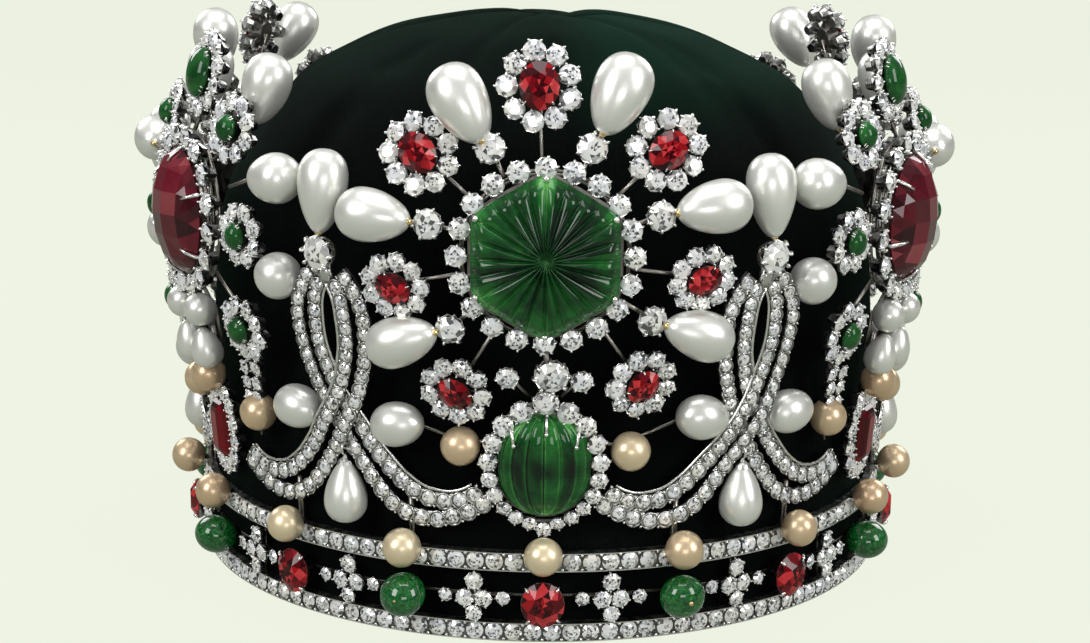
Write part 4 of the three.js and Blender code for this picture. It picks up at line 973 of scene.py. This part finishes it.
def hanging():
    P, G = Build(), Build()
    R, z0 = PENDANT["R"], PENDANT["top"] - PENDANT["length"] / 2
    M = np.eye(4); M[:3, 0], M[:3, 1], M[:3, 2] = (1, 0, 0), (0, 0, -1), (0, 1, 0)
    M[:3, 3] = (0, -R, z0)
    P.add(pearl(PENDANT["length"], PENDANT["width"], 0.38), M)
    # cap, loop and link
    G.add(ring_stack([(1.9, 1.9, PENDANT["top"] - 1.15), (1.55, 1.55, PENDANT["top"] - 0.2), (0.8, 0.8, PENDANT["top"] + 0.35), (0.45, 0.45, PENDANT["top"] + 0.9)], 14, 0.9), move(0, -R, 0))
    ringp = [(0, -R + 1.3 * math.cos(a), PENDANT["pivot"] + 1.3 * math.sin(a)) for a in np.linspace(0, 2 * math.pi, 20, False)]
    G.add(closed_tube(ringp, 0.34, 8, 0.9))
    G.add(tube([(0, -R, PENDANT["top"] + 0.2), (0, -R, PENDANT["pivot"] - 1.2)], 0.34, 6, 0.9))
    return P, G

for N in range(1, 7):
    C = leaf(); T = 30 + 60 * (N - 1)
    make(f"ribbon_settings_{N}", C["S"].turned(T), PLATINUM, stands_for=(f"ribbon_leaf_{N}",))
    make(f"ribbon_diamonds_{N}", C["D"].turned(T), DIAMOND)
    make(f"ribbon_posts_{N}", C["W"].turned(T), DARKWIRE)
    P, G = leaf_pearl()
    make(f"standing_pearl_{N}", P.turned(T), WHITE, stands_for=(f"leaf_pearl_{N}",))
    make(f"standing_pearl_cap_{N}", G.turned(T), GOLD)
    P, G = hanging()
    make(f"drop_pearl_{N}", P.turned(T), WHITE, body=f"hanging_pearl_{N}", stands_for=(f"hanging_pearl_{N}",))
    make(f"drop_pearl_cap_{N}", G.turned(T), PLATINUM, body=f"hanging_pearl_{N}")

# ---------------------------------------------------------------- band
def rail(z0, z1):
    S = Build()
    zi = z1 - z0
    sec = [(RAIL_IN, z0), (RAIL_OUT - 0.1, z0), (RAIL_OUT + 0.25, z0 + 0.12), (RAIL_OUT + 0.25, z0 + 0.34), (RAIL_OUT - 0.35, z0 + 0.5), (RAIL_OUT - 0.35, z1 - 0.5), (RAIL_OUT + 0.25, z1 - 0.34), (RAIL_OUT + 0.25, z1 - 0.12), (RAIL_OUT - 0.1, z1), (RAIL_IN, z1)]
    # values paint light and shade: the sunk face of the stone channel dark as painted shade, the raised lips brightest
    # as painted highlight
    vals = [0.6, 0.8, 1.0, 0.8, 0.14, 0.8, 1.0, 0.8, 0.9, 0.45]
    n, m = 252, len(sec)
    v, f, val = [], [], []
    for k in range(n):
        a = 2 * math.pi * k / n
        for r, z in sec: v.append((r * math.sin(a), -r * math.cos(a), z))
    for k in range(n):
        for i in range(m):
            a, b = k * m + i, k * m + (i + 1) % m
            c, d = ((k + 1) % n) * m + i, ((k + 1) % n) * m + (i + 1) % m
            f.append((a, b, d, c)); val.append(vals[i])
    S.add(Tpl(v, f, val, False))
    return S

def rail_stones(S, D, z, count, r, skip=()):
    for k in range(count):
        deg = 360.0 * (k + 0.5) / count
        M = band_at(deg, RAIL_OUT - 0.1, z)
        if not any(abs((deg - s + 180) % 360 - 180) < 1.2 for s in skip):
            stone(D, None, M, r)
        B = band_at(deg + 180.0 / count, RAIL_OUT + 0.02, z)
        for y in (-1, 1):
            S.add(BEAD, B @ move(0, y * (r - 0.35), 0) @ scale(0.46, 0.46, 0.4), shift=0.1)

S, D = rail(*LOWER_RAIL), Build()
rail_stones(S, D, 2.3, 126, 2.08)
make("lower_rail_channel", S, PLATINUM, stands_for=("lower_rail",))
make("lower_rail_diamonds", D, DIAMOND)
S, D = rail(*UPPER_RAIL), Build()
rail_stones(S, D, 19.2, 126, 2.08)
make("upper_rail_channel", S, PLATINUM, stands_for=("upper_rail",))
make("upper_rail_diamonds", D, DIAMOND)

W = Build()
W.add(closed_tube([(88.0 * math.sin(a), -88.0 * math.cos(a), 10.9) for a in np.linspace(0, 2 * math.pi, 180, False)], 0.45, 6, 0.12))
for k in range(STATIONS):
    for dd in (10,):
        W.add(tube([band_at(20 * k + dd, 88.2, 4.3)[:3, 3], band_at(20 * k + dd, 88.2, 17.1)[:3, 3]], 0.4, 6, 0.1))
make("gallery_struts", W, DARKWIRE, stands_for=("band_struts",))

C = fresh()
for k in range(STATIONS):
    d = 20 * k
    M = band_at(d, 89.6, STONE_Z)
    if k % 2:
        # drilled bead, slightly oval, with a gold pin
        C["E"].add(sphere(36, 24, 5.3, 5.3, 4.7, val=0.62), M @ move(0, 0, 4.4) @ rotx(0.5 * k))
        C["G"].add(BEAD_S, M @ move(0.1, -0.1, 9.15) @ scale(0.6, 0.6, 0.34))
        C["W"].add(ring_stack([(1.2, 1.2, -1.4), (2.6, 2.6, 0.5)], 12, 0.5), M)
    else:
        M = M @ move(0, -0.8, 0)
        oval_gem(C["R"], M @ move(0, 0, 3.0), 5.0, 5.4, RUBY_T, 0.85)
        C["S"].add(ring_stack([(3.4, 3.4, -0.8), (4.9, 5.2, 2.2), (5.02, 5.36, 2.75), (4.7, 5.05, 2.8), (4.0, 4.1, 1.6)], 20, [0.2] * 20 + [0.3] * 20 + [0.42] * 20 + [0.15] * 20 + [.2, .2]), M)
        claws_on(C["S"], M, 4.95, 5.35, 4, 3.5, 1.25, 0.82, 0.25, 0.8)
    # quatrefoil of four diamonds and a single one each side
    Q = band_at(d + 10, 89.2, STONE_Z)
    for a in range(4):
        x, y = ((0, 3.75), (-2.15, -0.3), (2.15, -0.35), (0, -3.9))[a]
        stone(C["D"], C["S"], Q @ move(x, y, 1.9 + 0.2 * (a % 2)) @ roty(0.03 * x), 2.02 if a < 3 else 1.85, claws=5, depth=0.9)
    C["S"].add(tube([(Q @ np.array([0, -3.9, 0.6, 1]))[:3], (Q @ np.array([0, 3.9, 0.6, 1]))[:3]], 0.5, 6, 0.4))
    for s in (-1, 1):
        stone(C["D"], C["S"], band_at(d + 10 + s * 4.25, 89.3, STONE_Z - 0.1) @ move(0, 0, 1.6), 1.6, claws=4, depth=0.9)
        C["W"].add(tube([band_at(d + 10 + s * 5.6, 89.0, STONE_Z)[:3, 3], band_at(d + 10, 89.2, STONE_Z)[:3, 3]], 0.32, 6, 0.12))
make("band_diamonds", C["D"], DIAMOND)
make("band_settings", C["S"], PLATINUM)
make("band_rubies", C["R"], RUBY, stands_for=("band_stones",))
BEADS = mat_gem("emerald_bead", [(0.0, (0.001, 0.01, 0.003)), (0.35, (0.002, 0.035, 0.008)), (0.6, (0.005, 0.085, 0.016)), (0.85, (0.02, 0.17, 0.035)), (1.0, (0.12, 0.38, 0.12))], cloud=1.6, cloud_scale=900, ior=1.5, coat=0.3)
make("band_emerald_beads", C["E"], BEADS)
make("band_bead_pins", C["G"], GOLD)
make("band_wires", C["W"], DARKWIRE)

P, S = Build(), Build()
for k in range(STATIONS):
    w = 8.8 * (1 + 0.02 * math.sin(k * 2.3))
    P.add(pearl(w, w, 0.01), band_at(20 * k, 94.5, 22.3) @ rotz(k), gain=(0.95, 0.62, 0.5, 0.42, 0.6, 0.75, 0.5, 0.66, 0.8, 0.45, 0.7, 0.55, 0.6, 0.8, 0.5, 0.45, 0.85, 0.9)[k])
    S.add(ring_stack([(1.5, 1.5, 0), (1.9, 1.9, 1.6), (1.2, 1.2, 1.6)], 12, 0.7), band_at(20 * k, 89.2, 20.6))
make("rail_pearls", P, GOLDEN, stands_for=("band_pearls",))
make("rail_pearl_cups", S, PLATINUM)

# ---------------------------------------------------------------- velvet cap, a gathered sheet
def cap_radius_profile(n):
    pr, pz = np.array([c[0] for c in CAP], float), np.array([c[1] for c in CAP], float)
    s = np.concatenate([[0], np.cumsum(np.hypot(np.diff(pr), np.diff(pz)))])
    fine = np.linspace(0, s[-1], 400)
    r, z = np.interp(fine, s, pr), np.interp(fine, s, pz)
    k = np.ones(31) / 31
    rp, zp = np.pad(r, 15, mode="edge"), np.pad(z, 15, mode="edge")
    rs, zs = np.convolve(rp, k, "valid"), np.convolve(zp, k, "valid")
    rs[-1], zs[-1] = 0, zs[-1]
    w = np.clip((400 - np.arange(400)) / 30, 0, 1)
    rs = rs * w + r * (1 - w)
    rs[0], zs[0] = r[0], z[0]
    q = np.linspace(0, 399, n)
    return np.interp(q, np.arange(400), rs), np.interp(q, np.arange(400), zs)

def velvet_cap():
    nr, na = 46, 120
    R, Z = cap_radius_profile(nr)
    v, f = [], []
    for j in range(nr - 1):
        for i in range(na):
            a = 2 * math.pi * i / na
            v.append((R[j] * math.sin(a), -R[j] * math.cos(a), Z[j]))
    v.append((0, 0, Z[-1])); e = len(v) - 1
    for j in range(nr - 2):
        for i in range(na):
            A, B = j * na + i, j * na + (i + 1) % na
            f.append((A, B, B + na, A + na))
    for i in range(na): f.append(((nr - 2) * na + i, (nr - 2) * na + (i + 1) % na, e))
    me = bpy.data.meshes.new("velvet_cap_cloth"); me.from_pydata([tuple(np.array(p) * MM) for p in v], [], f); me.update()
    o = bpy.data.objects.new("velvet_cap_cloth", me)
    bpy.context.scene.collection.objects.link(o)
    start = np.array(v) * MM
    # the cloth is a little larger than the form it was pinned to, so it relaxes into soft folds
    pin = o.vertex_groups.new(name="pin")
    pin.add(list(range(3 * na)), 1.0, "REPLACE")
    for j in range(3, nr - 1):
        for i in range(0, na, 15):
            pin.add([j * na + i], 0.25 if j < nr - 10 else 0.1, "REPLACE")
    c = o.modifiers.new("cloth", "CLOTH"); s = c.settings
    s.quality = 6; s.mass = 0.25; s.tension_stiffness = 12; s.compression_stiffness = 12; s.shear_stiffness = 4; s.bending_stiffness = 0.6
    s.vertex_group_mass = "pin"; s.pin_stiffness = 0.6
    s.shrink_min = -0.03; s.use_pressure = True; s.uniform_pressure_force = 5.0
    s.effector_weights.gravity = 0.0
    sc = bpy.context.scene
    sc.frame_start, sc.frame_end = 1, 14
    for fr in range(1, 15): sc.frame_set(fr)
    dg = bpy.context.evaluated_depsgraph_get()
    em = o.evaluated_get(dg).to_mesh()
    P = np.empty(len(em.vertices) * 3, np.float32); em.vertices.foreach_get("co", P); P = P.reshape(-1, 3).astype(float)
    o.evaluated_get(dg).to_mesh_clear()
    o.modifiers.remove(c)
    sc.frame_set(1)
    d = P - start
    L = np.linalg.norm(d, axis=1)
    cap = 0.0022
    d *= (np.minimum(L, cap) / np.maximum(L, 1e-9))[:, None]
    P = start + d
    # seams that run up the cap, a dimple where it is caught on top, and a fuller right side
    X, Y, Zz = P[:, 0], P[:, 1], P[:, 2]
    ang = np.arctan2(X, -Y); rad = np.hypot(X, Y)
    up = smooth(0.112, 0.138, Zz)
    for a0 in np.radians([38, 98, 158, 218, 278, 338]):
        dd = np.angle(np.exp(1j * (ang - a0)))
        seam = np.exp(-(dd * np.maximum(rad, 0.012) / 0.0022) ** 2)
        P[:, 2] -= 0.0009 * seam * smooth(0.095, 0.125, Zz)
        P[:, 0] -= np.sin(ang) * 0.0007 * seam * smooth(0.055, 0.09, Zz) * (rad / 0.08)
        P[:, 1] += np.cos(ang) * 0.0007 * seam * smooth(0.055, 0.09, Zz) * (rad / 0.08)
    P[:, 2] += 0.0012 * up * np.sin(ang * 3 + 0.6) * np.clip(rad / 0.05, 0, 1)
    P[:, 2] -= 0.0014 * np.exp(-(((X - 0.006) / 0.006) ** 2 + ((Y - 0.0) / 0.02) ** 2))
    P[:, 2] -= 0.0013 * smooth(0.118, 0.136, P[:, 2])
    P[:, 2] = np.minimum(P[:, 2], 0.1385)
    # stay behind the metalwork
    low = 1 - smooth(0.026, 0.036, P[:, 2])
    r0 = np.hypot(P[:, 0], P[:, 1]); k = (r0 + low * (0.0871 - r0)) / np.maximum(r0, 1e-6)
    P[:, 0] *= k; P[:, 1] *= k
    lim = np.where(Zz < 0.03, 0.0871, 0.0876)
    k = np.minimum(1, lim / np.maximum(np.hypot(P[:, 0], P[:, 1]), 1e-6))
    P[:, 0] *= k; P[:, 1] *= k
    # hollows that the six hanging pearls swing into
    ang = np.arctan2(P[:, 0], -P[:, 1]); rad = np.maximum(np.hypot(P[:, 0], P[:, 1]), 1e-6)
    for a0 in np.radians([30, 90, 150, 210, 270, 330]):
        arc = np.abs(np.angle(np.exp(1j * (ang - a0)))) * 0.087
        room = 0.0838 + 0.0045 * smooth(0.002, 0.0075, arc) + 0.0045 * smooth(0.0085, 0.013, np.abs(P[:, 2] - 0.0315))
        k = np.minimum(1, room / rad)
        P[:, 0] *= k; P[:, 1] *= k
        rad = np.maximum(np.hypot(P[:, 0], P[:, 1]), 1e-6)
    me.vertices.foreach_set("co", P.astype(np.float32).ravel()); me.update()
    me.polygons.foreach_set("use_smooth", [True] * len(me.polygons))
    sub = o.modifiers.new("sub", "SUBSURF"); sub.levels = 1; sub.render_levels = 1
    so = o.modifiers.new("cloth_thickness", "SOLIDIFY"); so.thickness = 0.0012; so.offset = -1
    me.materials.append(VELVET)
    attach(o, "crown"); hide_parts("velvet_cap")
    return o
cap = velvet_cap()

def mat_lining():
    m, nt, b = nodes_of("band_lining")
    w = nt.nodes.new("ShaderNodeTexWave"); w.inputs["Scale"].default_value = 900; w.inputs["Distortion"].default_value = 1.5; link(nt, coords(nt), w.inputs["Vector"])
    f = mixf(nt, mixf(nt, w.outputs["Fac"], 0.5, op="MULTIPLY"), mixf(nt, noise(nt, 300, 3), 0.5, op="MULTIPLY"))
    link(nt, ramp(nt, f, [(0.2, (0.006, 0.007, 0.006)), (0.8, (0.028, 0.03, 0.028))]), b.inputs["Base Color"])
    b.inputs["Roughness"].default_value = 0.8
    bump(nt, b, f, 0.4, 0.0004)
    return m
# head band: a padded strip with a rolled edge and stitches
B = Build()
sec = [(80.7, 3.2), (80.9, 2.5), (81.5, 2.5), (81.7, 3.2), (81.7, 23.2), (81.5, 23.9), (80.9, 23.9), (80.7, 23.2), (80.55, 20), (80.9, 19.4), (80.9, 7), (80.55, 6.4)]
v, f = [], []
n, m = 144, len(sec)
for k in range(n):
    a = 2 * math.pi * k / n
    for r, z in sec: v.append((r * math.sin(a), -r * math.cos(a), z))
for k in range(n):
    for i in range(m):
        a, b = k * m + i, k * m + (i + 1) % m
        c, d = ((k + 1) % n) * m + i, ((k + 1) % n) * m + (i + 1) % m
        f.append((a, b, d, c))
B.add(Tpl(v, f, 1.0, True))
for k in range(96):
    for z in (4.8, 21.6):
        B.add(BEAD, band_at(3.75 * k, 80.62, z) @ scale(0.9, 0.25, 0.22))
make("head_band_strip", B, mat_lining(), stands_for=("head_band",))

# ---------------------------------------------------------------- floor, light
def studio():
    sc = bpy.context.scene
    me = bpy.data.meshes.new("floor"); s = 14.0
    me.from_pydata([(-s, -s, 0), (s, -s, 0), (s, s, 0), (-s, s, 0)], [], [(0, 1, 2, 3)])
    fl = bpy.data.objects.new("floor", me); sc.collection.objects.link(fl)
    m, nt, b = nodes_of("floor")
    link(nt, ramp(nt, noise(nt, 3, 2), [(0.3, (0.02, 0.021, 0.018)), (0.7, (0.021, 0.022, 0.019))]), b.inputs["Base Color"])
    b.inputs["Emission Color"].default_value = (0.847, 0.887, 0.76, 1); b.inputs["Emission Strength"].default_value = 0.93
    b.inputs["Roughness"].default_value = 0.9; b.inputs["Specular IOR Level"].default_value = 0.0
    lp = nt.nodes.new("ShaderNodeLightPath")
    link(nt, mixf(nt, mixf(nt, lp.outputs["Is Camera Ray"], 0.595, op="MULTIPLY"), 0.385), b.inputs["Emission Strength"])
    me.materials.append(m)
    w = bpy.data.worlds.new("studio"); sc.world = w; w.use_nodes = True
    nt = w.node_tree; nt.nodes.clear()
    out = nt.nodes.new("ShaderNodeOutputWorld")
    lp = nt.nodes.new("ShaderNodeLightPath")
    bg1 = nt.nodes.new("ShaderNodeBackground"); bg1.inputs[0].default_value = (0.847, 0.887, 0.76, 1); bg1.inputs[1].default_value = 1.025
    geo = nt.nodes.new("ShaderNodeTexCoord"); sep = nt.nodes.new("ShaderNodeSeparateXYZ"); link(nt, geo.outputs["Generated"], sep.inputs[0])
    grad = ramp(nt, mixf(nt, mixf(nt, sep.outputs["Z"], 0.5, op="MULTIPLY"), 0.5), [(0.0, (0.5, 0.5, 0.48)), (0.5, (0.22, 0.22, 0.22)), (0.62, (0.3, 0.3, 0.3)), (0.8, (0.9, 0.9, 0.9)), (1.0, (1, 1, 1))])
    bg2 = nt.nodes.new("ShaderNodeBackground"); link(nt, grad, bg2.inputs[0]); bg2.inputs[1].default_value = 0.42
    mix = nt.nodes.new("ShaderNodeMixShader")
    link(nt, lp.outputs["Is Camera Ray"], mix.inputs[0]); link(nt, bg2.outputs[0], mix.inputs[1]); link(nt, bg1.outputs[0], mix.inputs[2]); link(nt, mix.outputs[0], out.inputs[0])
    def area(name, loc, target, size, power, col=(1, 1, 1), sy=None):
        d = bpy.data.lights.new(name, "AREA"); d.energy = power; d.size = size; d.color = col
        if sy: d.shape = "RECTANGLE"; d.size_y = sy
        o = bpy.data.objects.new(name, d); sc.collection.objects.link(o)
        o.location = loc
        o.rotation_euler = (Vector(target) - Vector(loc)).to_track_quat("-Z", "Y").to_euler()
        return o
    area("key_left", (-0.75, -0.75, 0.62), (0, 0, 0.07), 0.42, 6.2, (1, 0.99, 0.97), 0.6)
    area("key_right", (0.8, -0.62, 0.5), (0, 0, 0.07), 0.36, 5.2, (1, 0.99, 0.97), 0.6)
    area("top", (0, -0.1, 1.1), (0, 0, 0.08), 0.7, 6.5)
    area("front_low", (0.1, -1.25, 0.22), (0, 0, 0.06), 0.5, 2.0, (1, 1, 1), 0.25)
    area("back_left", (-0.7, 0.7, 0.6), (0, 0, 0.08), 0.5, 4)
    area("back_right", (0.7, 0.7, 0.6), (0, 0, 0.08), 0.5, 4)
    sc.view_settings.view_transform = "Standard"
    sc.view_settings.look = "None"
    sc.view_settings.exposure = 0.0
studio()
